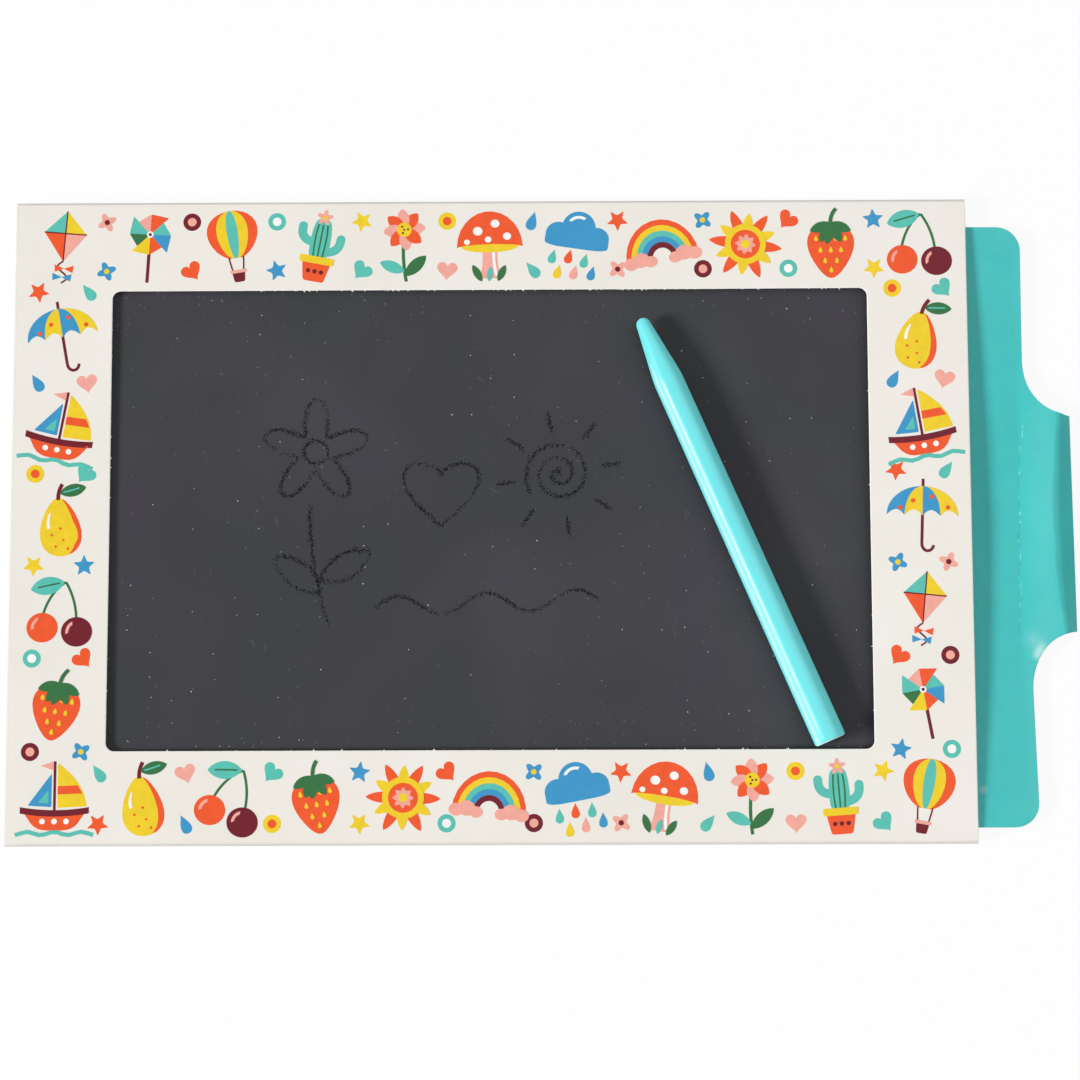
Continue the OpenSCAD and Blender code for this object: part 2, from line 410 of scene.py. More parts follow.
# %% Sleeve card
coated_card = mottled("coated_card", (240, 236, 229), (236, 232, 223), 28.0, 0.48, 0.35, 0.006)
raw_card = mottled("raw_card", (206, 202, 194), (190, 185, 176), 9.0, 0.85, 0.30, 0.020)
cut_card = mottled("cut_card", (250, 250, 248), (236, 233, 226), 0.8, 0.80, 0.15, 0.030)

tree = coated_card.node_tree
wear = add(tree, "Attribute", {"attribute_name": "wear"}).outputs["Fac"]
lay_over(coated_card, (206, 204, 199), wear, ramp(noise(tree, 1.1, 4.0), 0.25, 0.5, 0.54, 0.9))
print("card finishes:", coated_card.name, raw_card.name, cut_card.name)

# %% [markdown]
# ## Front cover
#
# One sheet of card makes the front, three edges and their glue flaps. The flat part is a ring between
# the window and the fold lines: two closed outlines with matching points, and a straight blend from
# one to the other. The folds are strips that carry a folded profile along the ring's outer edge. At
# the mouth nothing is folded, so the card bows up there, as it does on any sleeve that has been used.

# %% Front cover sizes
front_low, front_high = node_box("front_cover")
CARD, FOLD_R, FLAP = 0.6, 0.75, 9.0
WINDOW_X = (-100.0, 99.6)
WINDOW_Y = (-60.5, 61.0)
WINDOW_R = 2.2
mouth_x = front_high[0]
fold_x = front_low[0] + FOLD_R
fold_y = front_high[1] - FOLD_R
front_z = front_high[2]
MOUTH_BOW, PANEL_BOW, FOLD_HOLD = 2.3, 0.12, 40.0
PEAK_POWER, PEAK_SHIFT = 1.35, 0.05
WINDOW_SAG, SAG_RISE, SAG_FALL = 0.45, 20.0, 60.0
DRAW_BACK = 0.16


def panel_lift(x, y):
    """Height that the front gains by bowing: a peaked arch across Y, held down at the left fold, that grows
    towards the mouth. The closed end sags a little towards the window."""
    across = y / fold_y
    arch = 1.0 - np.abs(across + PEAK_SHIFT * (1.0 - across**2)) ** PEAK_POWER
    start = WINDOW_X[1] / 2
    towards_mouth = PANEL_BOW + MOUTH_BOW * smooth((x - start) / (mouth_x - start))
    sag = WINDOW_SAG * smooth((x - fold_x) / SAG_RISE) * smooth((WINDOW_X[0] + SAG_FALL - x) / SAG_FALL)
    return arch * (towards_mouth * smooth((x - fold_x) / FOLD_HOLD) - sag)


print(f"front bows {panel_lift(mouth_x, 0.0):.2f} mm at the middle of its mouth")

# %% Window outline and panel outline
def matching_outlines(edge_steps=22, corner_steps=12):
    """Window and panel outlines, counter-clockwise, with as many points each.

    A window corner is a quarter circle; its points go to the panel's square corner, half of them along
    either side. A straight stretch of the window goes to the stretch of panel edge right beside it.
    """
    t = np.linspace(0.0, 1.0, corner_steps + 1)[:, None]
    window, panel = [], []
    for side_x, side_y, start in ((1, -1, -90), (1, 1, 0), (-1, 1, 90), (-1, -1, 180)):
        square = np.array((WINDOW_X[side_x > 0], WINDOW_Y[side_y > 0]))
        centre = square - WINDOW_R * np.array((side_x, side_y))
        angle = np.radians(start + 90.0 * t)
        window.append(centre + WINDOW_R * np.hstack((np.cos(angle), np.sin(angle))))
        corner = np.array((mouth_x if side_x > 0 else fold_x, side_y * fold_y))
        ends = np.array(((centre[0], corner[1]), (corner[0], centre[1])))
        first, last = ends if start % 180 else ends[::-1]
        there, back = np.clip(2 * t, 0, 1), np.clip(2 * t - 1, 0, 1)
        panel.append(first + (corner - first) * there + (last - corner) * back)
    joined = []
    for corners in (window, panel):
        after = corners[1:] + corners[:1]
        stretches = [np.linspace(a[-1], b[0], edge_steps + 2)[1:-1] for a, b in zip(corners, after)]
        joined.append(np.vstack([part for pair in zip(corners, stretches) for part in pair]))
    return joined


window_line, panel_line = matching_outlines()
print("outlines of", len(window_line), "points; window", np.ptp(window_line, axis=0), "mm")

# %% Flat ring of the front
ROLL = np.array((0.0, 0.07, 0.20, 0.45))
ROLL_DROP = np.array((0.12, 0.035, 0.0, 0.0))
FOLD_WEAR = 0.5


def front_ring():
    """Ring of the front: a blend from the window to the panel's edge, with fine rows at both ends where
    the cutting die has rolled the edge over."""
    reach = np.linalg.norm(panel_line - window_line, axis=1)
    near = ROLL[:, None] / reach
    middle = np.linspace(0.06, 0.94, 9)[:, None] + np.zeros_like(reach)
    share = np.vstack((near, middle, 1.0 - near[::-1]))[..., None]
    x, y = np.moveaxis(window_line + (panel_line - window_line) * share, -1, 0)
    at_mouth = (np.abs(panel_line[:, 0] - mouth_x) < 1e-6) * smooth(fold_y - np.abs(panel_line[:, 1]))
    drop = np.zeros_like(x)
    drop[:4] = ROLL_DROP[:, None]
    drop[-4:] = ROLL_DROP[::-1, None] * at_mouth
    wear = np.zeros_like(x)
    wear[-1] = FOLD_WEAR
    lift = panel_lift(x, y)
    points = stack(x - DRAW_BACK * lift, y, front_z + lift - drop)
    return points.reshape(-1, 3), grid_quads(*x.shape, wrap=True)[:, ::-1], wear.ravel()


ring = front_ring()
print("front ring:", len(ring[0]), "points")

# %% Folded edges
FLAP_GAP = 1.1


def fold_profile(steps=8):
    """Folded edge in section: how far out of the fold line and how high each point is, from the front
    over a quarter circle, down the wall, round a second quarter circle and in along the flap. Also how
    much the card is bent there."""
    turn = np.linspace(0.0, np.pi / 2, steps + 1)
    low, high = front_low[2] + FOLD_R, front_z - FOLD_R
    over = stack(FOLD_R * np.sin(turn), high + FOLD_R * np.cos(turn), 0.5 + 0.5 * np.sin(turn))
    wall = stack(FOLD_R, np.linspace(high, low, 5)[1:-1], (0.25, 0.1, 0.25))
    under = stack(FOLD_R * np.cos(turn), low - FOLD_R * np.sin(turn), 0.6 * np.cos(turn))
    flap = stack(np.linspace(0.0, FOLD_R - FLAP, 6)[1:], front_low[2], 0.0)
    return np.vstack((over, wall, under, flap)).T[..., None]


def fold_strips():
    """The three folded edges: the profile carried along the fold lines. They meet in a mitre at the closed
    corners, and the flaps keep a small gap there."""
    out, up, bent = fold_profile()
    mitre = np.where(out < 0.0, FLAP_GAP * out, out)
    along_x = np.unique(panel_line[panel_line[:, 1] > fold_y - 1e-6][:, 0].round(9))
    along_y = np.unique(panel_line[panel_line[:, 0] < fold_x + 1e-6][:, 1].round(9))
    length = mouth_x - fold_x
    x = mouth_x - (mouth_x - along_x) * (length + mitre) / length
    y = along_y * (fold_y + mitre) / fold_y
    edges = ((x, fold_y + out, 1), (x, -fold_y - out, -1), (fold_x - out, y, 1))
    made = []
    for edge_x, edge_y, way in edges:
        points = stack(edge_x, edge_y, up)
        wear = np.repeat(bent, points.shape[1])
        made.append((points.reshape(-1, 3), grid_quads(*points.shape[:2])[:, ::way], wear))
    return made


strips = fold_strips()
print("folded edges:", [len(points) for points, _, _ in strips], "points")

# %% Join the front cover
all_points, all_faces, all_wear = zip(ring, *strips)
points, faces = join(zip(all_points, all_faces))
points, faces, kept = weld(points, np.array(faces))

cards = coated_card, raw_card, cut_card
sleeve_front = make_piece("sleeve_front", points, faces, "sleeve", "printed_card", *cards)
mark_points(sleeve_front, "wear", np.concatenate(all_wear)[kept])
bare = np.zeros(len(faces), np.int32)
bare[: 2 * len(window_line)] = cards.index(cut_card)
sleeve_front.data.polygons.foreach_set("material_index", bare)
make_wall(sleeve_front, CARD, -1.0, inner=1, rim=2)
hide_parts("front_cover")
report(sleeve_front)

# %% [markdown]
# ## Fibres at the window
#
# A blunt die tears the card a little as it cuts, so tufts of paper fibre stand out along the window,
# most of them on its upper edge. Bump could not show them, because they are seen against the dark film.
# Each tuft is a sliver: a wedge of four points with its root in the card and its tip over the film. A
# seeded draw gives their places, widths, lengths and leans.

# %% Fibres at the window
TUFT_ROOT, TUFT_LEAN = 0.12, 0.12
TUFT_WIDTH, TUFT_WIDER = 0.35, 0.80
TUFT_LENGTH, TUFT_LONGER = 0.17, 0.48
TUFT_DROP = np.array((0.10, 0.10, 0.40, 0.22))
left, right, low, high = *WINDOW_X, *WINDOW_Y
TUFT_STRETCHES = (
    ((left + 33.0, high), (left + 155.0, high), 54),
    ((left + 155.0, high), (right - 4.0, high), 8),
    ((left, low + 5.0), (left, high - 5.0), 10),
    ((right - 10.0, low), (left + 10.0, low), 26),
    ((right, high - 8.0), (right, low + 8.0), 5),
)


def fibre_tufts(seed=41):
    """Wedges along stretches of the window, each running clockwise: two corners of the root beside each
    other, one below them and a tip that reaches out to the right of the stretch. Most are short."""
    draw = np.random.default_rng(seed)
    start, end, number = (np.array(column) for column in zip(*TUFT_STRETCHES))
    which = np.repeat(np.arange(len(number)), number)
    one_each = (len(which), 1)
    run = end - start
    along = (run / np.linalg.norm(run, axis=1, keepdims=True))[which]
    inward = stack(along[:, 1], -along[:, 0])
    spot = start[which] + run[which] * draw.random(one_each)
    side = along * (TUFT_WIDTH + TUFT_WIDER * draw.random(one_each) ** 2) / 2
    tip = spot + inward * (TUFT_LENGTH + TUFT_LONGER * draw.random(one_each) ** 2)
    tip += along * TUFT_LEAN * draw.standard_normal(one_each)
    root = spot - TUFT_ROOT * inward
    x, y = np.moveaxis(np.stack((root + side, root - side, root, tip), axis=1), -1, 0)
    lift = panel_lift(spot[:, :1], spot[:, 1:])
    sides = np.array(((1, 0, 3), (0, 1, 2), (0, 2, 3), (2, 1, 3)))
    faces = sides + 4 * np.arange(len(which))[:, None, None]
    return stack(x - DRAW_BACK * lift, y, front_z + lift - TUFT_DROP).reshape(-1, 3), faces.reshape(-1, 3)


report(make_piece("cut_fibres", *fibre_tufts(), "sleeve", "printed_card", cut_card))

# %% [markdown]
# ## Printed border
#
# The border carries a cheerful print in flat inks: orange, yellow, teal, blue, pink, dark green and
# maroon on cream. It could be painted with an image, but shapes with real outlines stay sharp at any
# distance. Each printed shape is a very thin closed slab that lies on the card, drawn from an outline
# formula, and shapes drawn later lie almost a hundredth of a millimetre higher. All slabs of one ink
# make one piece.

# %% Inks
INK_TONES = {
    "orange": (243, 91, 46),
    "yellow": (244, 210, 44),
    "teal": (92, 195, 180),
    "green": (52, 112, 64),
    "blue": (62, 152, 202),
    "pink": (246, 172, 158),
    "maroon": (110, 24, 38),
    "white": (252, 251, 248),
}


def ink_finish(name, tone):
    """Offset ink on coated card: almost flat colour with a faint mottle, and the card's own grain."""
    other = [round(0.965 * c) for c in tone]
    return mottled("ink_" + name, tone, other, 2.2, 0.42, 0.35, 0.004)


inks = {name: ink_finish(name, tone) for name, tone in INK_TONES.items()}
print("inks:", ", ".join(inks))

# %% Filled shapes
def fan(ink, outline):
    """Flat shape of an outline that is seen whole from its middle: each edge is joined to the mean point."""
    rim = np.arange(len(outline))
    faces = stack(rim, np.roll(rim, -1), len(outline))
    return ink, np.vstack((outline, outline.mean(axis=0))), faces, rim


def patch(ink, *curves):
    """Flat shape between curves with as many points each, joined point by point."""
    rows, cols = len(curves), len(curves[0])
    number = np.arange(rows * cols).reshape(rows, cols)
    rim = np.concatenate((number[0, :-1], number[:-1, -1], number[-1, :0:-1], number[:0:-1, 0]))
    return ink, np.vstack(curves), grid_quads(rows, cols), rim


def turned(points, x, y, tilt):
    """Points turned by tilt degrees about the origin, then moved to x, y."""
    c, s = math.cos(math.radians(tilt)), math.sin(math.radians(tilt))
    return points @ np.array(((c, s), (-s, c))) + (x, y)


square = np.array(((0, 0), (1, 0), (1, 1), (0, 1)))
print("a fan fills a square with", len(fan("white", square)[2]), "triangles")

# %% Round shapes and polygons
ROUND = np.linspace(0.0, 2.0 * np.pi, 32, endpoint=False)


def oval(ink, x, y, wide, tall=None):
    """Ellipse, or a circle: half its width times cos t across, half its height times sin t up."""
    return fan(ink, stack(x + wide / 2 * np.cos(ROUND), y + (tall or wide) / 2 * np.sin(ROUND)))


def leaf(ink, x, y, length, width, tilt):
    """Leaf from its stalk: (1 - cos t)/2 of its length along, sin t times |sin t| to the 0.6 across."""
    across = width / 2 * np.sin(ROUND) * np.abs(np.sin(ROUND)) ** 0.6
    return fan(ink, turned(stack(length * (1.0 - np.cos(ROUND)) / 2, across), x, y, tilt))


def drop(ink, x, y, width, height, tilt=0.0):
    """Drop with its point up: cos t of half its height up, sin t times sin(t/2) to the 1.6 across."""
    across = 0.62 * width * np.sin(ROUND) * np.sin(ROUND / 2) ** 1.6
    return fan(ink, turned(stack(across, height / 2 * np.cos(ROUND)), x, y, tilt))


def lobes(ink, x, y, radius, depth, count, tilt=0.0):
    """Lobed outline: radius plus depth times cos(count t) from its middle."""
    far = radius + depth * np.cos(count * ROUND)
    return fan(ink, turned(stack(far * np.cos(ROUND), far * np.sin(ROUND)), x, y, tilt))


def poly(ink, *corners, soft=0.2):
    """Polygon, each corner a quadratic curve that starts and ends a soft share along its sides."""
    at = np.array(corners, float)
    t = np.linspace(0.0, 1.0, 5)[None, :, None]
    start = at + soft * (np.roll(at, 1, axis=0) - at)
    end = at + soft * (np.roll(at, -1, axis=0) - at)
    curve = (1 - t) ** 2 * start[:, None] + 2 * t * (1 - t) * at[:, None] + t**2 * end[:, None]
    return fan(ink, curve.reshape(-1, 2))


print("round outlines have", len(ROUND), "points")

# %% Curves and strokes
LINE = np.linspace(0.0, 1.0, 14)


def bow(start, pull, end):
    """Quadratic curve from start to end, drawn towards pull."""
    t = LINE[:, None]
    return (1 - t) ** 2 * np.array(start) + 2 * t * (1 - t) * np.array(pull) + t**2 * np.array(end)


def arc(x, y, radius, first, last, flat=1.0):
    """Piece of a circle between two angles in degrees, pressed flat upwards."""
    angle = np.radians(first + (last - first) * LINE)
    return stack(x + radius * np.cos(angle), y + flat * radius * np.sin(angle))


def brush(ink, path, width):
    """Stroke: the path moved half a width to either side along its normals."""
    along = np.gradient(path, axis=0)
    normal = stack(-along[:, 1], along[:, 0]) / np.linalg.norm(along, axis=1)[:, None]
    return patch(ink, path - normal * width / 2, path + normal * width / 2)


print("curves have", len(LINE), "points")

# %% [markdown]
# ## Motifs
#
# Each motif fits a box 100 units high, centred on the origin, and is a list of shapes from the bottom
# one to the top one. They are everyday things that any printer might set in a border: a boat, a
# balloon, fruit, weather and toys. A list per motif keeps each drawing readable on its own.

# %% Boat, balloon and kite
# Sailing boat: a hull between two curves, two sails, a mast, a flag and a wave.
u = np.linspace(-1.0, 1.0, 14)
wave = stack(52 * u, -46 + 2.2 * np.cos(9.0 * u))
deck = stack(46 * u, -15 + 4 * u**2)
keel = stack(31 * u, -42 + 9 * u**4)
boat = [
    patch("yellow", bow((4, -12), (4, 20), (4, 46)), bow((43, -10), (40, 22), (5, 47))),
    patch("orange", bow((4, 6), (4, 10), (4, 17)), bow((37, 7), (35, 12), (30.5, 18))),
    poly("blue", (-4, -11), (-4, 34), (-36, -9), soft=0.06),
    poly("teal", (-8, -6), (-8, 12), (-22, -5), soft=0.08),
    brush("maroon", bow((0, -20), (0, 15), (0, 50)), 3.5),
    poly("pink", (-1.5, 50), (-20, 44), (-1.5, 38), soft=0.08),
    patch("orange", keel, deck),
    patch("maroon", deck - (0, 8.5), deck),
    *(oval("white", x, -30, 7.5) for x in (-16, 0, 16)),
    brush("teal", wave, 5.5),
]

# Hot-air balloon: gores between scaled copies of half its outline, two ropes and a basket.
down = np.linspace(0.06, 2.85, 14)
wide = 40 * np.sin(down) * (0.86 + 0.14 * np.cos(down))
seams = [stack(share * wide, 16 + 34 * np.cos(down)) for share in (-1.0, -0.62, -0.22, 0.22, 0.62, 1.0)]
gores = zip(("orange", "yellow", "teal", "yellow", "orange"), seams, seams[1:])
balloon = [
    *(patch(*gore) for gore in gores),
    *(brush("maroon", bow((10 * s, -15), (9 * s, -25), (7 * s, -36)), 2) for s in (-1, 1)),
    poly("maroon", (-9, -34), (9, -34), (7, -50), (-7, -50)),
    poly("pink", (-11, -33), (11, -33), (11, -37.5), (-11, -37.5), soft=0.1),
]

# Kite of four triangles on two spars, with a waving tail and bows.
top, right, low, left, mid = (0, 50), (29, 19), (0, -20), (-29, 19), (0, 19)
fall = np.linspace(-20, -50, 14)
bows = [
    poly(ink, (x, y), (x + 13 * s, y + 5), (x + 12 * s, y - 5), soft=0.08)
    for ink, x, y in (("orange", 2, -30), ("blue", 0, -42))
    for s in (-1, 1)
]
kite = [
    poly("teal", top, mid, left, soft=0.02),
    poly("yellow", top, right, mid, soft=0.02),
    poly("orange", left, mid, low, soft=0.02),
    poly("pink", mid, right, low, soft=0.02),
    brush("maroon", bow(top, mid, low), 1.8),
    brush("maroon", bow(left, mid, right), 1.8),
    brush("maroon", stack(7 * np.sin(0.21 * (fall + 20)), fall), 2.2),
    *bows,
]

print("shapes in boat, balloon and kite:", len(boat), len(balloon), len(kite))

# %% Mushroom, daisy and cactus
# Mushroom: a spotted cap between two arcs, gills, a stem and grass.
spots = (-16, 20, 13), (8, 30, 12), (24, 12, 11), (-2, 8, 9), (-31, 5, 8)
mushroom = [
    patch("pink", bow((-11, 0), (-8, -25), (-15, -46)), bow((11, 0), (8, -25), (15, -46))),
    patch("white", bow((3, 0), (2, -22), (6, -42)), bow((8, 0), (5, -25), (11, -44))),
    oval("yellow", 0, -1.5, 78, 17),
    patch("orange", arc(0, -3, 45, 2, 178, 0.1), arc(0, -3, 45, 2, 178, 1.12)),
    *(oval("white", x, y, size, 0.92 * size) for x, y, size in spots),
    leaf("green", -12, -50, 26, 10, 118),
    leaf("teal", -2, -50, 20, 8, 84),
    leaf("green", 10, -50, 24, 10, 64),
]

# Daisy: petals round a yellow middle, on a bowed stem with two leaves.
seeds = (0, 0), (5, 0), (-2.5, 4.5), (-2.5, -4.5)
daisy = [
    brush("green", bow((-3, -50), (-6, -15), (2, 20)), 4.5),
    leaf("teal", -4, -36, 36, 16, 152),
    leaf("green", -4, -42, 40, 17, 38),
    *(leaf(ink, 2, 22, 29, 17, 45 * number) for number, ink in enumerate(("pink", "orange") * 4)),
    oval("yellow", 2, 22, 20),
    *(oval("maroon", 2 + x, 22 + y, 3) for x, y in seeds),
]

# Cactus in a pot: a ribbed column with two arms, and a flower on top.
cactus = [
    brush("teal", bow((2, -8), (29, -8), (27, 14)), 12),
    oval("teal", 27.2, 14, 12),
    brush("teal", bow((-2, 4), (-29, 2), (-27, 24)), 12),
    oval("teal", -27.2, 24, 12),
    poly("teal", (-13, -20), (13, -20), (14, 14), (10, 38), (-10, 38), (-14, 14), soft=0.4),
    *(brush("green", bow((x, -16), (1.5 * x, 10), (x, 30)), 2.2) for x in (-6, 0, 6)),
    lobes("pink", 0, 40, 8.5, 3, 5, 18),
    oval("yellow", 0, 40, 6),
    poly("orange", (-20, -20), (20, -20), (14, -50), (-14, -50), soft=0.12),
    poly("yellow", (-24, -15), (24, -15), (23, -25), (-23, -25), soft=0.1),
    *(oval("maroon", x, -36, 6) for x in (-9, 0, 9)),
]

print("shapes in mushroom, daisy and cactus:", len(mushroom), len(daisy), len(cactus))

# %% Pear, strawberry and cherries
# Pear: sin t times a width that grows downwards, with a blush, a stalk and a leaf.
body = stack(np.sin(ROUND) * (27 - 8.5 * np.cos(ROUND)), -10 + 40 * np.cos(ROUND))
blush = body[2:15]
spots = (3, -28), (-8, -36), (0, -12), (-12, -20), (8, -40)
pear = [
    fan("yellow", body),
    patch("orange", blush * (0.7, 1.0), blush),
    *(oval("orange", x, y, 3.5) for x, y in spots),
    patch("white", bow((-17, -12), (-20, -2), (-13, 10)), bow((-13, -10), (-15, -2), (-11, 10))),
    brush("maroon", bow((0, 27), (0, 38), (7, 48)), 5),
    leaf("green", 3, 36, 36, 17, 8),
    brush("teal", bow((8, 37), (18, 38), (30, 41)), 2),
]

# Strawberry: a body that narrows downwards, rows of seeds and a leafy crown.
body = stack(42 * np.sin(ROUND) * (0.72 + 0.28 * np.cos(ROUND)), -10 + 38 * np.cos(ROUND))
rows = (8, (-20, -7, 7, 20)), (-8, (-14, 0, 14)), (-23, (-8, 8)), (-36, (0,))
strawberry = [
    fan("orange", body),
    *(drop("yellow", x, y, 6, 8.5) for y, places in rows for x in places),
    *(leaf("green", 0, 29, 30, 14, tilt) for tilt in (-22, 202, -62, 242, -100)),
    brush("green", bow((0, 28), (0, 40), (8, 49)), 5),
]

# Two cherries on bowed stalks under one leaf.
knot = (12, 40)
cherries = [
    brush("green", bow((-22, -8), (-12, 26), knot), 3.5),
    brush("green", bow((24, -16), (26, 14), knot), 3.5),
    leaf("teal", 10, 40, 46, 24, 190),
    brush("green", bow((4, 39), (-10, 37), (-26, 34)), 2.2),
    oval("orange", -22, -20, 42, 40),
    oval("maroon", 24, -28, 42, 40),
    patch("pink", arc(-22, -20, 15, 110, 190), arc(-22, -20, 11, 118, 182)),
    patch("pink", arc(24, -28, 15, 110, 190), arc(24, -28, 11, 118, 182)),
]

print("shapes in pear, strawberry and cherries:", len(pear), len(strawberry), len(cherries))

# %% Rain cloud and rainbow
# Cloud of overlapping ovals on a flat foot, with two rows of drops.
puffs = (-24, 12, 36, 34), (2, 24, 46, 46), (28, 12, 34, 32)
upper = ("teal", -28, -20), ("orange", -6, -17), ("teal", 16, -20)
lower = ("yellow", -18, -40), ("pink", 4, -38), ("blue", 28, -36)
rain_cloud = [
    *(oval("blue", *puff) for puff in puffs),
    poly("blue", (-42, 14), (45, 14), (45, -5), (-42, -5), soft=0.3),
    patch("white", arc(2, 24, 17, 60, 150), arc(2, 24, 13, 66, 144)),
    *(drop(ink, x, y, 13, 20, -8) for ink, x, y in upper + lower),
]

# Rainbow: half rings of equal width, with a puff of cloud at both feet.
radii = np.linspace(50, 14, 6)
rings = [arc(0, -20, radius, 0, 180, 1.1) for radius in radii]
feet = (44, -20, 20), (30, -17, 24), (17, -21, 18)
rainbow = [
    *map(patch, ("orange", "yellow", "teal", "blue", "maroon"), rings, rings[1:]),
    *(oval("pink", s * x, y, size, 0.85 * size) for s in (-1, 1) for x, y, size in feet),
]

print("shapes in rain cloud and rainbow:", len(rain_cloud), len(rainbow))

# %% Sun and umbrella
# Sun: long and short rays round a disc with a ring in it.
rays = (("orange", 50), ("yellow", 43)) * 6
sun = [
    *(leaf(ink, 0, 0, far, 15, 30 * number) for number, (ink, far) in enumerate(rays)),
    oval("yellow", 0, 0, 56),
    oval("orange", 0, 0, 40),
    lobes("pink", 0, 0, 12, 2.5, 8),
    oval("yellow", 0, 0, 12),
]

# Umbrella: four gores from the crown to a scalloped hem, a tip and a hooked handle.
part = np.linspace(0.0, 1.0, 5)[:, None]
hem = 1.57 - 0.2 * np.sin(np.pi * part)
down = 0.03 + (hem - 0.03) * LINE
gores = [
    patch(ink, *stack(48 * ((number + part) / 2 - 1) * np.sin(down), 40 * np.cos(down)))
    for number, ink in enumerate(("blue", "yellow") * 2)
]
umbrella = [
    brush("maroon", bow((0, 36), (0, 42), (0, 50)), 4),
    brush("maroon", bow((0, 10), (0, -10), (0, -38)), 4),
    brush("maroon", arc(8, -38, 8, 180, 350, 1.2), 4),
    *gores,
    *(oval("orange", x, y, 6) for x, y in ((-13, 20), (34, 12), (-30, 10), (12, 26))),
]

print("shapes in sun and umbrella:", len(sun), len(umbrella))

# %% Pinwheel and small marks
# Pinwheel: four folded sails round a pin, on a stick.
front, back = np.array(((0, 0), (34, 0), (20, 20))), np.array(((0, 0), (20, 20), (0, 24)))
pairs = ("orange", "pink"), ("teal", "green"), ("yellow", "orange"), ("blue", "teal")
pinwheel = [
    brush("maroon", bow((0, 14), (0, -20), (0, -50)), 4.5),
    *(
        poly(ink, *turned(sail, 0, 17, 45 + 90 * number), soft=0.06)
        for number, pair in enumerate(pairs)
        for ink, sail in zip(pair, (front, back))
    ),
    oval("white", 0, 17, 9),
    oval("maroon", 0, 17, 4.5),
]


def heart(ink):
    """Heart: 16 sin³t across and 13 cos t - 5 cos 2t - 2 cos 3t - cos 4t up."""
    up = 13 * np.cos(ROUND) - 5 * np.cos(2 * ROUND) - 2 * np.cos(3 * ROUND) - np.cos(4 * ROUND)
    return [fan(ink, stack(16 * np.sin(ROUND) ** 3, up) / 0.32)]


def star(ink):
    """Five-pointed star with soft points."""
    reach = np.where(np.arange(10) % 2, 24, 55)
    angle = np.radians(90 + 36 * np.arange(10))
    return [poly(ink, *stack(reach * np.cos(angle), reach * np.sin(angle)), soft=0.22)]


def ringed_dot(ink, middle):
    """Dot with a smaller dot in it."""
    return [oval(ink, 0, 0, 86), oval(middle, 0, 0, 42)]


def clover(ink, middle):
    """Four round petals about a dot."""
    return [lobes(ink, 0, 0, 36, 12, 4, 45), oval(middle, 0, 0, 26)]


print("shapes in pinwheel and clover:", len(pinwheel), len(clover("blue", "yellow")))

# %% Lists of motifs and marks
MOTIFS = (
    boat, strawberry, rain_cloud, cactus, kite, pear, sun,
    mushroom, balloon, umbrella, cherries, rainbow, daisy, pinwheel,
)
MARKS = (
    star("orange"), ringed_dot("teal", "white"), heart("pink"), clover("blue", "yellow"), star("yellow"),
    [drop("teal", 0, 0, 60, 95)], heart("orange"), ringed_dot("yellow", "orange"),
    clover("pink", "maroon"), star("blue"), [drop("blue", 0, 0, 60, 95)], ringed_dot("maroon", "pink"),
    heart("teal"),
)
print(len(MOTIFS), "motifs and", len(MARKS), "marks")

# %% [markdown]
# ## Laying out the border
#
# The motifs stand round the border at even steps, each tilted a little, and two small marks fill every
# gap between neighbours, one by the edge and one by the window. Stepping through the list of motifs by
# five of fourteen uses each one twice or more and keeps twins apart.

# %% Border layout
LONG_STEPS, SHORT_STEPS, LIST_STEP = 10, 6, 5
MOTIF_SIZE, MARK_SIZE, MARK_SPREAD = 19.4, 5.5, 6.6
MOTIF_TILT, MARK_TILT = 11.0, 40.0


def border_places():
    """Places round the middle of the border, side by side, each with the gap after it and the direction
    across the border there."""
    left, right = (front_low[0] + WINDOW_X[0]) / 2, (mouth_x + WINDOW_X[1]) / 2
    low, high = (front_low[1] + WINDOW_Y[0]) / 2, (front_high[1] + WINDOW_Y[1]) / 2
    corners = np.array(((left, low), (right, low), (right, high), (left, high)))
    sides = zip(corners, np.roll(corners, -1, axis=0), (LONG_STEPS, SHORT_STEPS) * 2, ((0, 1), (1, 0)) * 2)
    for start, end, steps, across in sides:
        for step in range(steps):
            place, gap = (start + (end - start) * along / steps for along in (step, step + 0.5))
            yield place, gap, np.array(across)


def border_shapes():
    """Every printed shape in its place: its ink, points in mm, faces, rim and level."""
    for number, (place, gap, across) in enumerate(border_places()):
        motif = MOTIFS[LIST_STEP * number % len(MOTIFS)]
        groups = [(motif, place, MOTIF_SIZE, MOTIF_TILT * math.sin(2.4 * number))]
        for side in (-1, 1):
            mark = MARKS[(2 * number + (side > 0)) * LIST_STEP % len(MARKS)]
            tilt = MARK_TILT * math.sin(1.7 * number + side)
            groups.append((mark, gap + side * MARK_SPREAD * across, MARK_SIZE, tilt))
        for shapes, (x, y), size, tilt in groups:
            for level, (ink, points, faces, rim) in enumerate(shapes):
                yield ink, turned(points * size / 100, x, y, tilt), faces, rim, level


border = list(border_shapes())
print(len(border), "printed shapes")

# %% Print the border
INK_LIFT, INK_STEP, INK_SINK = 0.02, 0.008, 0.01


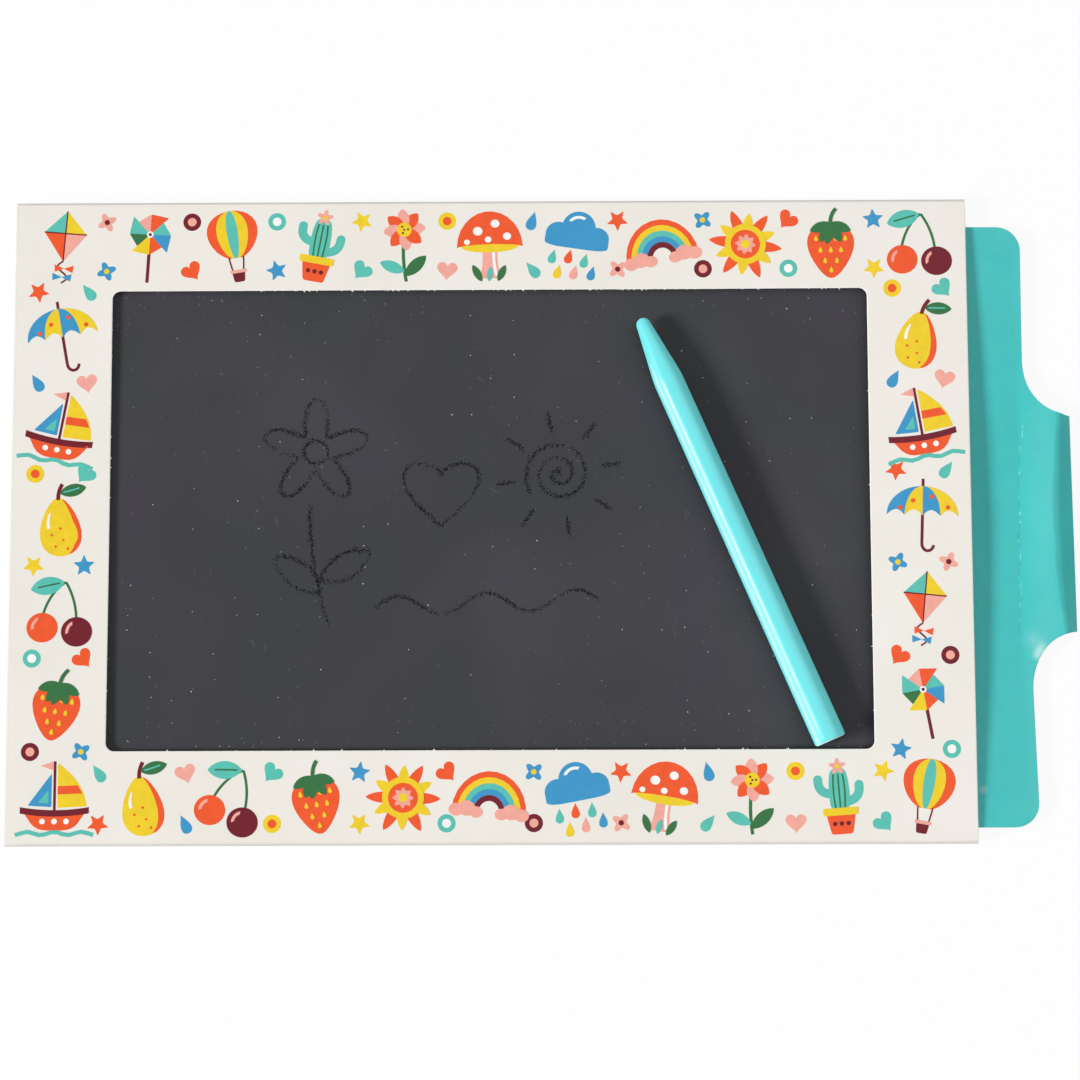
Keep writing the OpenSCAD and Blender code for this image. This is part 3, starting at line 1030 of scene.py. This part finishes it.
def ink_slab(points, faces, rim, level):
    """Closed slab over a flat shape: a top on its level above the card, a foot just in the card, and a rim.
    A shape that runs clockwise, so that the sum of x y' - y x' round its rim is negative, is reversed."""
    x, y = points.T
    after = np.roll(rim, -1)
    if np.sum(x[rim] * y[after] - y[rim] * x[after]) < 0:
        faces, rim = faces[:, ::-1], rim[::-1]
        after = np.roll(rim, -1)
    card = front_z + panel_lift(x, y)
    top = stack(x, y, card + INK_LIFT + INK_STEP * level)
    foot = stack(x, y, card - INK_SINK)
    foot_faces = faces[:, ::-1] + len(points)
    wall = stack(after, rim, rim + len(points), after + len(points))
    return np.vstack((top, foot)), [*faces.tolist(), *foot_faces.tolist(), *wall.tolist()]


for name, finish in inks.items():
    slabs = join(ink_slab(*shape) for ink, *shape in border if ink == name)
    printed = make_piece("print_" + name, *slabs, "sleeve", "printed_card", finish)
    printed.data.set_sharp_from_angle(angle=CREASE)
    report(printed)

# %% [markdown]
# ## Slide
#
# The slide is one long teal card, folded back on itself at the tab so that the tab is double and stiff.
# In section it is a single line: along the bottom, round the end, up the sloping lip, over a crest,
# down to a score line and back under the mouth. That line is carried across the slide, and the plan's
# outline, with round shoulders and two scoops beside the tab, says how wide each station is.

# %% Slide sizes and section
slide_low, slide_high = node_box("slide_card")
film_low, film_high = node_box("writing_film")
SLIDE_CARD, TAPE, CREST_RISE = 0.6, 0.1, 2.2
SHOULDER_X, SHOULDER_R = 140.8, 6.5
TAB_HALF, SCOOP = 28.45, 15.0
SCORE_X, CREST_X, LAP_X = 139.0, 149.7, 116.0
END_R, CREST_R, SCORE_R = 0.8, 2.4, 4.5
fold_end = slide_high[0]
slide_mid = (slide_low[1] + slide_high[1]) / 2
slide_half = (slide_high[1] - slide_low[1]) / 2
low_z = slide_low[2] + SLIDE_CARD / 2
high_z = film_high[2] + TAPE + SLIDE_CARD / 2
crest_z = high_z + CREST_RISE


def rounded_corner(before, corner, after, radius, steps=14):
    """Arc that rounds a corner of a path: tangent to both legs, its centre on the corner's bisector."""
    u = (before - corner) / np.linalg.norm(before - corner)
    w = (after - corner) / np.linalg.norm(after - corner)
    half = math.acos(u @ w) / 2
    centre = corner + (u + w) / np.linalg.norm(u + w) * radius / math.sin(half)
    first = corner + u * radius / math.tan(half) - centre
    sweep = math.copysign(math.pi - 2 * half, u[1] * w[0] - u[0] * w[1])
    angle = math.atan2(first[1], first[0]) + sweep * np.linspace(0.0, 1.0, steps + 1)
    return centre + radius * stack(np.cos(angle), np.sin(angle))


def slide_section():
    """Middle line of the folded card in X and Z, from the far end of the lower layer to the upper one."""
    crest = np.array((CREST_X, crest_z))
    bend = np.array((fold_end - SLIDE_CARD / 2 - END_R, low_z + END_R))
    fall = crest - bend
    lean = math.atan2(fall[1], -fall[0]) - math.asin(END_R / np.linalg.norm(fall))
    corner = np.array((bend[0] + END_R / math.tan(lean / 2), low_z))
    far, score, near = np.array(((slide_low[0], low_z), (SCORE_X, high_z), (LAP_X, high_z)))
    end = rounded_corner(far, corner, crest, END_R)
    top = rounded_corner(corner, crest, score, CREST_R)
    dip = rounded_corner(crest, score, near, SCORE_R)
    return far, end, top, dip, near


section = slide_section()
print(f"slide folds at x = {fold_end:.1f} and its tab rises to {crest_z + SLIDE_CARD / 2:.2f} mm")

# %% Slide stations
TAB_STEPS = np.array((0.06, 0.25, 0.6, 1.1, 1.8, 2.8, 4.0, 5.4, 6.8))
LIP_X = 149.5


def stations():
    """Places along the section: both layers get the plan's own X places, and each bend its arc points."""
    far, end, top, dip, near = section
    shoulder = SHOULDER_X - SHOULDER_R + SHOULDER_R * np.sin(np.linspace(0.0, np.pi / 2, 9))
    tab = SHOULDER_X + TAB_STEPS
    inside = np.linspace(far[0], SHOULDER_X - SHOULDER_R, 40)[:-1]
    lower = np.concatenate((inside, shoulder, tab, [LIP_X]))
    by_lap = np.linspace(LAP_X, SCORE_X - 5.0, 12)
    by_score = np.linspace(SCORE_X - 2.5, SCORE_X + 3.0, 19)
    upper = np.concatenate((tab, shoulder, dip[:, 0], by_score, by_lap))
    upper = np.unique(upper[upper < top[-1, 0] - 0.05].round(4))[::-1]
    line = np.vstack((top, dip, [near]))[::-1]
    lip = np.linspace(end[-1], top[0], 6)[1:-1]
    return np.vstack((stack(lower, low_z), end, lip, top, stack(upper, np.interp(upper, *line.T))))


def plan_widths(x):
    """Half widths of the plan at x: of the whole slide with its round shoulders, and of the tab, whose scoops
    are quarter ellipses from the shoulders' edge to the tab's end."""
    past = np.clip(x - (SHOULDER_X - SHOULDER_R), 0.0, SHOULDER_R)
    whole = slide_half - SHOULDER_R + np.sqrt(SHOULDER_R**2 - past**2)
    left = np.clip((fold_end - x) / (fold_end - SHOULDER_X), 0.0, 1.0)
    return whole, TAB_HALF + SCOOP * (1.0 - np.sqrt(1.0 - left**2))


path = stations()
whole_half, tab_half = plan_widths(path[:, :1])
print(len(path), "stations; the tab is", round(2 * tab_half.min(), 1), "mm wide at its end")

# %% Slide surface
SCORE_SKEW, SKEW_EASE, SLIDE_SKEW = 0.03, 4.0, 0.0105
RISE_EDGE, RISE_FADE = 2.0, 18.0
DIP, DIP_EASE, DIP_ARCH = 1.0, 6.0, 0.8
LAYER_SLIP, SLIP_END, SLIP_EASE, LAP_EASE = 0.3, 1.5, 2.0, 12.0
FLARE, FLARE_FROM = 0.00015, 43.0
CREST_SWING, CREST_WAVE = 1.9, 0.14
SIDE_COLS, MIDDLE_COLS = 7, 41


def slide_points():
    """Slide's middle surface: columns run over a shoulder, the tab and the other shoulder.

    The rise of the upper layer fades beside the tab, and its score line runs a little askew. The crest
    swings inwards in the middle and wavers, the upper layer dips before it, the shoulders flare, and the
    two layers don't lie quite on each other, as in any card that is creased by hand.
    """
    beside_tab = tab_half + (whole_half - tab_half) * np.linspace(1.0, 0.0, SIDE_COLS)
    on_tab = tab_half * np.linspace(-1.0, 1.0, MIDDLE_COLS)[1:-1]
    y = np.hstack((-beside_tab, on_tab, beside_tab[:, ::-1]))
    x, z = path[:, :1], path[:, 1:]
    crest = np.argmax(z)
    line = path[crest:][::-1]
    on_top = np.arange(len(path))[:, None] > crest
    skewed = x - SCORE_SKEW * y * smooth((CREST_X - x) / SKEW_EASE)
    z = np.where(on_top, np.interp(skewed, *line.T), z)
    fade = 1.0 - smooth((np.abs(y) - TAB_HALF + RISE_EDGE) / RISE_FADE)
    z = np.where(z > high_z, high_z + (z - high_z) * fade, z)
    to_crest = np.clip((CREST_X - x) / (CREST_X - SCORE_X), 0.0, 1.0)
    arch = np.clip(1.0 - DIP_ARCH * (y / slide_half) ** 2, 0.0, 1.0)
    dip = DIP * arch * smooth((x - film_high[0]) / DIP_EASE) * to_crest * on_top
    lip = np.clip((fold_end - x) / (fold_end - CREST_X), 0.0, 1.0) * (z > low_z + 2.0 * END_R)
    swing = np.where(on_top, smooth((x - SCORE_X) / (CREST_X - SCORE_X)), lip)
    wave = CREST_WAVE * (np.sin(y / 3.1) + np.sin(y / 1.7 + 2.0))
    bulge = -(CREST_SWING + wave) * swing * np.clip(1.0 - (y / TAB_HALF) ** 2, 0.0, 1.0)
    out = smooth((x - LAP_X) / LAP_EASE)
    askew = (FLARE * np.clip(y**2 - FLARE_FROM**2, 0.0, None) - SLIDE_SKEW * y) * out
    slip = LAYER_SLIP * (z < low_z + 1e-6) * out * smooth((fold_end - SLIP_END - x) / SLIP_EASE)
    return stack(x + bulge + askew + slip, y + slide_mid, z - dip)


surface = slide_points()
rows, cols = surface.shape[:2]
print("slide surface:", rows, "rows of", cols, "points")

# %% Build the slide
def slide_faces(rows, cols):
    """Quads of the slide, without those beside the tab beyond the shoulders."""
    faces = grid_quads(rows, cols)
    row, col = np.divmod(np.arange(len(faces)), cols - 1)
    beyond = path[:, 0] > SHOULDER_X - 1e-6
    outer = (col < SIDE_COLS - 1) | (col >= cols - SIDE_COLS)
    return faces[~((beyond[:-1] & beyond[1:])[row] & outer)]


points, faces, _ = weld(surface.reshape(-1, 3), slide_faces(rows, cols))
print("slide:", len(points), "points")

# %% [markdown]
# ## Teal card
#
# The slide's card is printed teal on both sides and lightly varnished, with a fine streak from the
# roller. Where the tab bends up, the print has cracked along the score line: a broken dark line with
# pale specks. A painted sheen makes the flat of the tab paler, and pale spots of painted highlight sit
# beside its foot and near the mouth. An image could hold such marks, but here each is a mask of the
# place, broken up by noise. The cut edges are a darker teal: painted shade along them.

# %% Teal card finish
SCORE_REACH, SCORE_FADE = (-36.0, 29.0), 6.0
SCORE_WANDER, SCORE_WIDE, SCORE_FULL = 1.0, 0.19, 0.06
UPPER_Z = 2.4
SHEEN_FADE, SHEEN_END, LIP_START = 6.0, 146.5, 149.0
# Painted glints on the teal card: x, y, reach in mm and strength of each pale spot of painted highlight.
PAINTED_GLINTS = (
    (142.5, -36.3, 2.2, 0.5), (143.2, -35.0, 2.4, 0.6), (143.9, -33.7, 2.2, 0.4), (141.8, -32.4, 4.5, 0.15),
    (127.6, -71.1, 2.0, 0.35),
)
ROLLED = (6.0, 0.6, 1.0)

teal_card = mottled("teal_card", (65, 193, 192), (62, 189, 188), 14.0, 0.40, 0.5, 0.005, ROLLED, 0.22)
tree = teal_card.node_tree
spot = here(tree)
at_x, at_y, at_z = add(tree, "SeparateXYZ", Vector=spot).outputs
lay_over(teal_card, (68, 196, 183), blotches(tree, 5.0, 0.45, 0.7, 0.5, 4.0))
lay_over(teal_card, (60, 170, 168), blotches(tree, 0.8, 0.4, 0.7, 0.16, 3.0, (3.0, 1.0, 1.0)))
lay_over(teal_card, (150, 206, 200), blotches(tree, 60.0, 0.4, 0.7, 0.1))

on_top = calc("GREATER_THAN", at_z, UPPER_Z * MM)
# Painted sheen: from the score line out to the lip, the upper layer of the tab is painted paler, standing in
# for light on it.
painted_sheen = ramp(at_x, SCORE_X * MM, (SCORE_X + SHEEN_FADE) * MM, 0.0, 0.07)
lay_over(teal_card, (170, 214, 209), painted_sheen, ramp(at_x, LIP_START * MM, SHEEN_END * MM), on_top)

wander = ramp(noise(tree, 6.0, 3.0), 0.2, 0.8, -SCORE_WANDER * MM, SCORE_WANDER * MM)
score = calc("MULTIPLY_ADD", at_y, SCORE_SKEW, SCORE_X * MM)
offset = calc("ABSOLUTE", calc("SUBTRACT", calc("ADD", at_x, wander), score))
first, last = SCORE_REACH
ends = times(
    ramp(at_y, first * MM, (first + SCORE_FADE) * MM),
    ramp(at_y, last * MM, (last - SCORE_FADE) * MM),
)
crack = times(ramp(offset, SCORE_WIDE * MM, SCORE_FULL * MM), ends, on_top)
lay_over(teal_card, (40, 140, 138), crack, blotches(tree, 3.0, 0.42, 0.6, 0.6, 4.0))
lay_over(teal_card, (162, 240, 236), crack, blotches(tree, 1.2, 0.51, 0.62, 0.85, 5.0))

# Each spot is painted highlight: a pale tone that fades out from its centre, standing in for a glint of
# light.
for x, y, reach, strength in PAINTED_GLINTS:
    away = add(tree, "VectorMath", {"operation": "DISTANCE"}, Vector=spot)
    away.inputs[1].default_value = (x * MM, y * MM, high_z * MM)
    near = ramp(away.outputs["Value"], reach * MM, 0.0)
    lay_over(teal_card, (236, 250, 249), near, near, strength)
print(len(PAINTED_GLINTS), "painted glints on the teal card")

# %% Finish the slide
# The cut edges get a darker teal than the faces: painted shade along them.
teal_edge_shade = mottled("teal_edge_shade", (66, 158, 154), (44, 128, 125), 0.7, 0.7, 0.15, 0.02)
slide = make_piece("slide_sheet", points, faces, "slide", "slide_card", teal_card, teal_edge_shade)
make_wall(slide, SLIDE_CARD, 0.0, inner=0, rim=1)
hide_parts("slide_card")
report(slide)

# %% [markdown]
# ## Writing film
#
# The film is a thin dark sheet, taped to the slide at both ends and free between them, so it lies in
# very low waves. It is satin, with a few hairline scratches from the stylus, faint smudges and dust,
# which gathers by the window's long edges. A grid with a sum of slow sines gives the waves, and noise
# gives the marks.

# %% Film
FILM_T = film_high[2] - film_low[2]
FILM_TAPED, FILM_EASE = 10.0, 30.0
DUST_FROM, DUST_FULL = 50.0, 58.0


def film_height(x, y):
    """Middle of the film: flat at its taped ends, with waves of up to a twentieth of a millimetre between."""
    from_left = smooth((x - film_low[0] - FILM_TAPED) / FILM_EASE)
    from_right = smooth((film_high[0] - FILM_TAPED - x) / FILM_EASE)
    waves = 0.03 * np.sin(x / 19.0 + 0.4) * np.cos(y / 31.0) + 0.02 * np.sin(y / 13.0 + x / 47.0)
    return (film_low[2] + film_high[2]) / 2 + from_left * from_right * waves


film_satin = mottled("film_satin", (63, 65, 67), (68, 66, 72), 40.0, 0.46, 0.6, 0.003, (8.0, 1.0, 1.0), 0.05)
tree = film_satin.node_tree
hair = calc("ABSOLUTE", calc("SUBTRACT", noise(tree, 9.0, 1.0, (1.0, 2.2, 1.0)), 0.5))
lay_over(film_satin, (120, 120, 122), blotches(tree, 55.0, 0.5, 0.8, 0.08, 3.0))
lay_over(film_satin, (170, 170, 172), ramp(hair, 0.004, 0.0), blotches(tree, 6.0, 0.62, 0.68), 0.15)
lay_over(film_satin, (250, 249, 246), specks(tree, 5.6, 0.17, 0.2))
off_middle = calc("ABSOLUTE", add(tree, "SeparateXYZ", Vector=here(tree)).outputs["Y"])
by_edge = ramp(off_middle, DUST_FROM * MM, DUST_FULL * MM, 0.0, 0.75)
lay_over(film_satin, (214, 211, 203), specks(tree, 3.1, 0.17, 0.3), by_edge)
lay_over(film_satin, (190, 186, 178), specks(tree, 2.3, 0.16, 0.12), blotches(tree, 24.0, 0.42, 0.6, 0.7))

x, y = np.meshgrid(np.linspace(film_low[0], film_high[0], 96), np.linspace(film_low[1], film_high[1], 64))
film_grid = stack(x, y, film_height(x, y)).reshape(-1, 3)
film = make_piece("writing_sheet", film_grid, grid_quads(*x.shape), "slide", "writing_film", film_satin)
make_wall(film, FILM_T, 0.0)
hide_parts("writing_film")
report(film)

# %% [markdown]
# ## Drawn line
#
# Where the stylus has pressed, the film clings to the wax below and the dark wax shows through as a
# grainy black line. It could be a ribbon, but the grain is what makes it look drawn. So the strokes are
# paths from formulas, and thousands of tiny flat flecks are strewn along them, dense in the middle of
# the line and sparse at its edges. The doodle is a flower, a heart and a curled-up sun over a wave.

# %% Strokes
STROKE_STEP = 0.042


def stroke(x, y):
    """Path from two arrays, resampled at even steps along its length."""
    length = np.append(0.0, np.cumsum(np.hypot(np.diff(x), np.diff(y))))
    even = np.arange(0.0, length[-1], STROKE_STEP)
    return stack(np.interp(even, length, x), np.interp(even, length, y))


t = np.linspace(0.0, 1.0, 400)
turn = 2.0 * np.pi * t
petal = 9.5 + 4.6 * np.cos(5.0 * turn)
blade_line = stack(7.5 * (1.0 - np.cos(turn)), 3.2 * np.sin(turn) * np.abs(np.sin(turn)) ** 0.6)
blades = (-1, turned(blade_line, 0, 0, 38)), (1, turned(blade_line, 0, 3, 30))
tilted = turn + 0.25
heart_up = 13 * np.cos(tilted) - 5 * np.cos(2 * tilted) - 2 * np.cos(3 * tilted)
ray = 11.5 + 5.0 * t
STROKES = [
    stroke(-46.0 + petal * np.cos(turn + 0.3), 18.0 + petal * np.sin(turn + 0.3)),
    stroke(-46.0 + 3.2 * np.cos(turn), 18.0 + 3.0 * np.sin(turn)),
    stroke(-47.5 + 5.0 * t**2, 3.5 - 31.0 * t),
    *(stroke(-44.6 + side * blade[:, 0], -19.0 + blade[:, 1]) for side, blade in blades),
    stroke(-13.0 + 0.62 * 16 * np.sin(tilted) ** 3, 8.0 + 0.62 * heart_up),
    stroke(18.0 + 9.0 * t * np.cos(2.6 * turn), 12.0 + 9.0 * t * np.sin(2.6 * turn)),
    *(stroke(18.0 + ray * np.cos(a), 12.0 + ray * np.sin(a)) for a in np.radians(range(10, 360, 45))),
    stroke(-30.0 + 58.0 * t, -23.0 + 2.6 * np.sin(2.5 * turn) + 2.0 * t),
]
print(len(STROKES), "strokes,", round(STROKE_STEP * sum(map(len, STROKES))), "mm of line")

# %% Flecks
FLECK_SIDES, FLECK_RISE, FLECK_STRAY = 4, 0.012, 0.34
FLECK_SIZE, FLECK_PULL, HALF_TURN = (0.07, 0.18), (0.8, 1.6), (0.0, np.pi)


def flecks(strokes, seed=11):
    """Flecks along the strokes: each a low double cone on the film, pulled long and turned at random. How
    far it strays from the line follows a bell curve, and pressure comes and goes along the stroke."""
    rng = np.random.default_rng(seed)
    line = np.vstack(strokes)
    along = np.concatenate([np.arange(len(s)) * STROKE_STEP / 10.0 for s in strokes])
    pressure = 0.62 + 0.28 * np.sin(2.1 * along) + 0.12 * np.sin(5.3 * along + 1.0)
    spots = line[rng.random(len(line)) < pressure]
    spots = spots + rng.normal(0.0, FLECK_STRAY, spots.shape)
    size, pull, turn = (rng.uniform(*span, (len(spots), 1)) for span in (FLECK_SIZE, FLECK_PULL, HALF_TURN))
    angle = 2.0 * np.pi * np.arange(FLECK_SIDES) / FLECK_SIDES
    u = size * pull * np.append(np.cos(angle), (0.0, 0.0))
    v = size * np.append(np.sin(angle), (0.0, 0.0))
    x = spots[:, :1] + np.cos(turn) * u - np.sin(turn) * v
    y = spots[:, 1:] + np.sin(turn) * u + np.cos(turn) * v
    rise = np.append(np.zeros(FLECK_SIDES), (FLECK_RISE, -FLECK_RISE))
    z = film_height(x, y) + FILM_T / 2 + rise
    rim = np.arange(FLECK_SIDES)
    after = np.roll(rim, -1)
    one = np.vstack((stack(rim, after, FLECK_SIDES), stack(after, rim, FLECK_SIDES + 1)))
    faces = one + (FLECK_SIDES + 2) * np.arange(len(spots))[:, None, None]
    return stack(x, y, z).reshape(-1, 3), faces.reshape(-1, 3)


pressed_wax = mottled("pressed_wax", (8, 8, 9), (20, 20, 22), 0.8, 0.7, 0.2, 0.004, shine=0.1)
report(make_piece("drawn_line", *flecks(STROKES), "slide", "writing_film", pressed_wax))

# %% [markdown]
# ## Stylus
#
# The stylus is a moulded stick: a small round tip, a straight taper, a barrel that widens a touch, and
# a flat end with a soft rim. It is a turned shape, so one profile of radius against length, swept round
# the axis, gives all of it. The plastic is bright turquoise with a soft shine. A painted highlight makes
# it paler along its moulding seam and the end's rim. A rough diffuse shading stands in for the light it
# scatters inside.

# %% Stylus profile
stylus_low, stylus_high = node_box("stylus")
STYLUS_END = (87.97, -58.43)
STYLUS_LEAN, STYLUS_L = 23.5, 121.1
BARREL_R, END_RIM_R, TIP_R = 3.9, 4.18, 1.9
TAPER, TAPER_EASE, RIM_SOFT = 17.6, 1.2, 0.75
DISH_DEPTH, DISH_R = np.array((0.0, 0.06, 0.1, 0.12)), (3.3, 3.1, 2.2, 1.1)


def stylus_profile():
    """Length along the axis and radius: a round tip, a taper that eases into the barrel, and a soft rim
    that turns in to a slightly dished end."""
    lean = math.atan2(BARREL_R - TIP_R, TAPER - TIP_R)
    slope = math.tan(lean)
    angle = np.linspace(0.08, np.pi / 2 - lean, 14)
    tip = TIP_R * stack(1 - np.cos(angle), np.sin(angle))
    along = np.linspace(tip[-1, 0], TAPER - TAPER_EASE, 8)[1:]
    taper = stack(along, tip[-1, 1] + (along - tip[-1, 0]) * slope)
    ease = np.linspace(0.0, 1.0, 9)[1:]
    bend = taper[-1] + 2 * TAPER_EASE * stack(ease, slope * (ease - ease**2 / 2))
    along = np.linspace(TAPER + 3.0, STYLUS_L - RIM_SOFT, 24)
    widen = (END_RIM_R - bend[-1, 1]) / (along[-1] - bend[-1, 0])
    barrel = stack(along, bend[-1, 1] + widen * (along - bend[-1, 0]))
    angle = np.linspace(0.0, np.pi / 2, 7)[1:]
    rim_centre = np.array((STYLUS_L, END_RIM_R)) - RIM_SOFT
    rim = rim_centre + RIM_SOFT * stack(np.sin(angle), np.cos(angle))
    return np.vstack((tip, taper, bend, barrel, rim, stack(STYLUS_L - DISH_DEPTH, DISH_R))).T


along, radius = stylus_profile()
print("stylus profile of", len(along), "points, up to", round(2 * radius.max(), 2), "mm thick")

# %% Stylus surface
SEAM_AT, SEAM_WIDE, SEAM_RISE = 145.0, 9.0, 0.05
RIM_HIGHLIGHT, RIM_INNER_R = 0.4, 3.4


def stylus_skin(sides=96):
    """Profile swept round the axis, closed by a point at the tip and another in the dished end, with a low
    moulding seam along one side. Also says how much painted highlight each point gets, along the seam
    and on the rim."""
    lean = math.radians(STYLUS_LEAN)
    axis = np.array((math.sin(lean), -math.cos(lean), 0.0))
    across = np.array((math.cos(lean), math.sin(lean), 0.0))
    tip = np.append(STYLUS_END, (stylus_low[2] + stylus_high[2]) / 2) - axis * STYLUS_L
    angle = 2.0 * np.pi * np.arange(sides) / sides
    ring = np.cos(angle)[:, None] * across + np.sin(angle)[:, None] * (0.0, 0.0, 1.0)
    bell = np.exp(-(((np.degrees(angle) - SEAM_AT) / SEAM_WIDE) ** 2))
    seam = bell * smooth((along - 0.6 * TAPER) / 6.0)[:, None]
    rings = tip + along[:, None, None] * axis + (radius[:, None] + SEAM_RISE * seam)[..., None] * ring
    # Painted highlight: the end's rim and the seam's side are marked to be painted pale, standing in for
    # light caught there.
    rim_highlight = smooth((along - STYLUS_L + RIM_HIGHLIGHT) / (0.6 * RIM_HIGHLIGHT)) * smooth((radius - RIM_INNER_R) / 0.2)
    painted_highlight = np.maximum(seam, rim_highlight[:, None])
    points = np.vstack((rings.reshape(-1, 3), tip, tip + axis * (STYLUS_L - DISH_DEPTH[-1])))
    count = len(along) * sides
    number = np.arange(sides)
    after = np.roll(number, -1)
    tip_faces = stack(after, number, count)
    end_faces = stack(number + count - sides, after + count - sides, count + 1)
    faces = [*grid_quads(len(along), sides, wrap=True).tolist(), *tip_faces.tolist(), *end_faces.tolist()]
    return points, faces, np.append(painted_highlight, (0.0, 0.0))


points, faces, painted_highlight = stylus_skin()
print("stylus skin of", len(points), "points")

# %% Finish the stylus
turquoise = mottled("turquoise_plastic", (123, 235, 238), (119, 232, 236), 20.0, 0.30, 2.5, 0.004, shine=0.4)
feed(shader(turquoise)["Diffuse Roughness"], 0.8)
tree = turquoise.node_tree
# Painted highlight: where the seam attribute is 1, along the seam and on the end's rim, the plastic is
# painted pale in broken streaks.
seam_highlight = add(tree, "Attribute", {"attribute_name": "seam"}).outputs["Fac"]
streaks = ramp(noise(tree, 0.5, 3.0, (0.6, 14.0, 0.6)), 0.3, 0.6, 0.4, 0.95)
lay_over(turquoise, (226, 246, 248), seam_highlight, streaks)

stick = make_piece("stylus_stick", points, faces, "stylus", "stylus_plastic", turquoise)
mark_points(stick, "seam", painted_highlight)
stick.data.set_sharp_from_angle(angle=CREASE)
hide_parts("stylus")
report(stick)

# %% [markdown]
# ## Finishes for the CAD parts that stay
#
# The back, the rails, the wiper bar, the wax, the stop strip and the tapes have simple shapes that the
# CAD already gives. They mostly hide inside the sleeve and show when the slide is pulled out, so they
# keep their solids and get a finish each: pale card for the back, grey board with flecks of recycled
# fibre, waxed paper with a dull shine, milky plastic for the bar and yellowish tape.

# %% Board, wax, bar and tape
DRAWN = (0.6, 6.0, 1.0)

back_card = mottled("back_card", (229, 227, 221), (225, 222, 215), 30.0, 0.72, 0.3, 0.012)
grey_board = mottled("grey_board", (163, 156, 147), (143, 136, 127), 3.0, 0.88, 0.25, 0.03)
bar_plastic = mottled("bar_plastic", (226, 226, 222), (214, 215, 212), 12.0, 0.38, 0.5, 0.004, DRAWN)
wax_paper = mottled("wax_paper", (26, 26, 28), (38, 37, 38), 7.0, 0.4, 0.5, 0.008)
film_tape = mottled("film_tape", (230, 224, 204), (222, 214, 190), 5.0, 0.5, 0.4, 0.006)
lay_over(back_card, (150, 142, 130), specks(back_card.node_tree, 3.0, 0.14, 0.25), 0.4)
lay_over(grey_board, (96, 90, 84), specks(grey_board.node_tree, 1.4, 0.16, 0.35))
lay_over(grey_board, (205, 200, 192), specks(grey_board.node_tree, 1.9, 0.14, 0.3))

NODE_FINISHES = {
    "back_panel": back_card,
    "upper_rail": grey_board,
    "lower_rail": grey_board,
    "end_rail": grey_board,
    "stop_strip": grey_board,
    "wiper_bar": bar_plastic,
    "waxed_sheet": wax_paper,
    "film_tape_left": film_tape,
    "film_tape_right": film_tape,
}
for name, finish in NODE_FINISHES.items():
    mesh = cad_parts[name].data
    mesh.materials.clear()
    mesh.materials.append(finish)
print(len(NODE_FINISHES), "CAD parts finished")

# %% Sizes of the CAD box and the visual box
sizes = {"cad": [list(c) for c in cad_box], "visual": [list(c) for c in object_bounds()]}
print("visual box in mm:", [[round(c / MM, 2) for c in corner] for corner in sizes["visual"]])
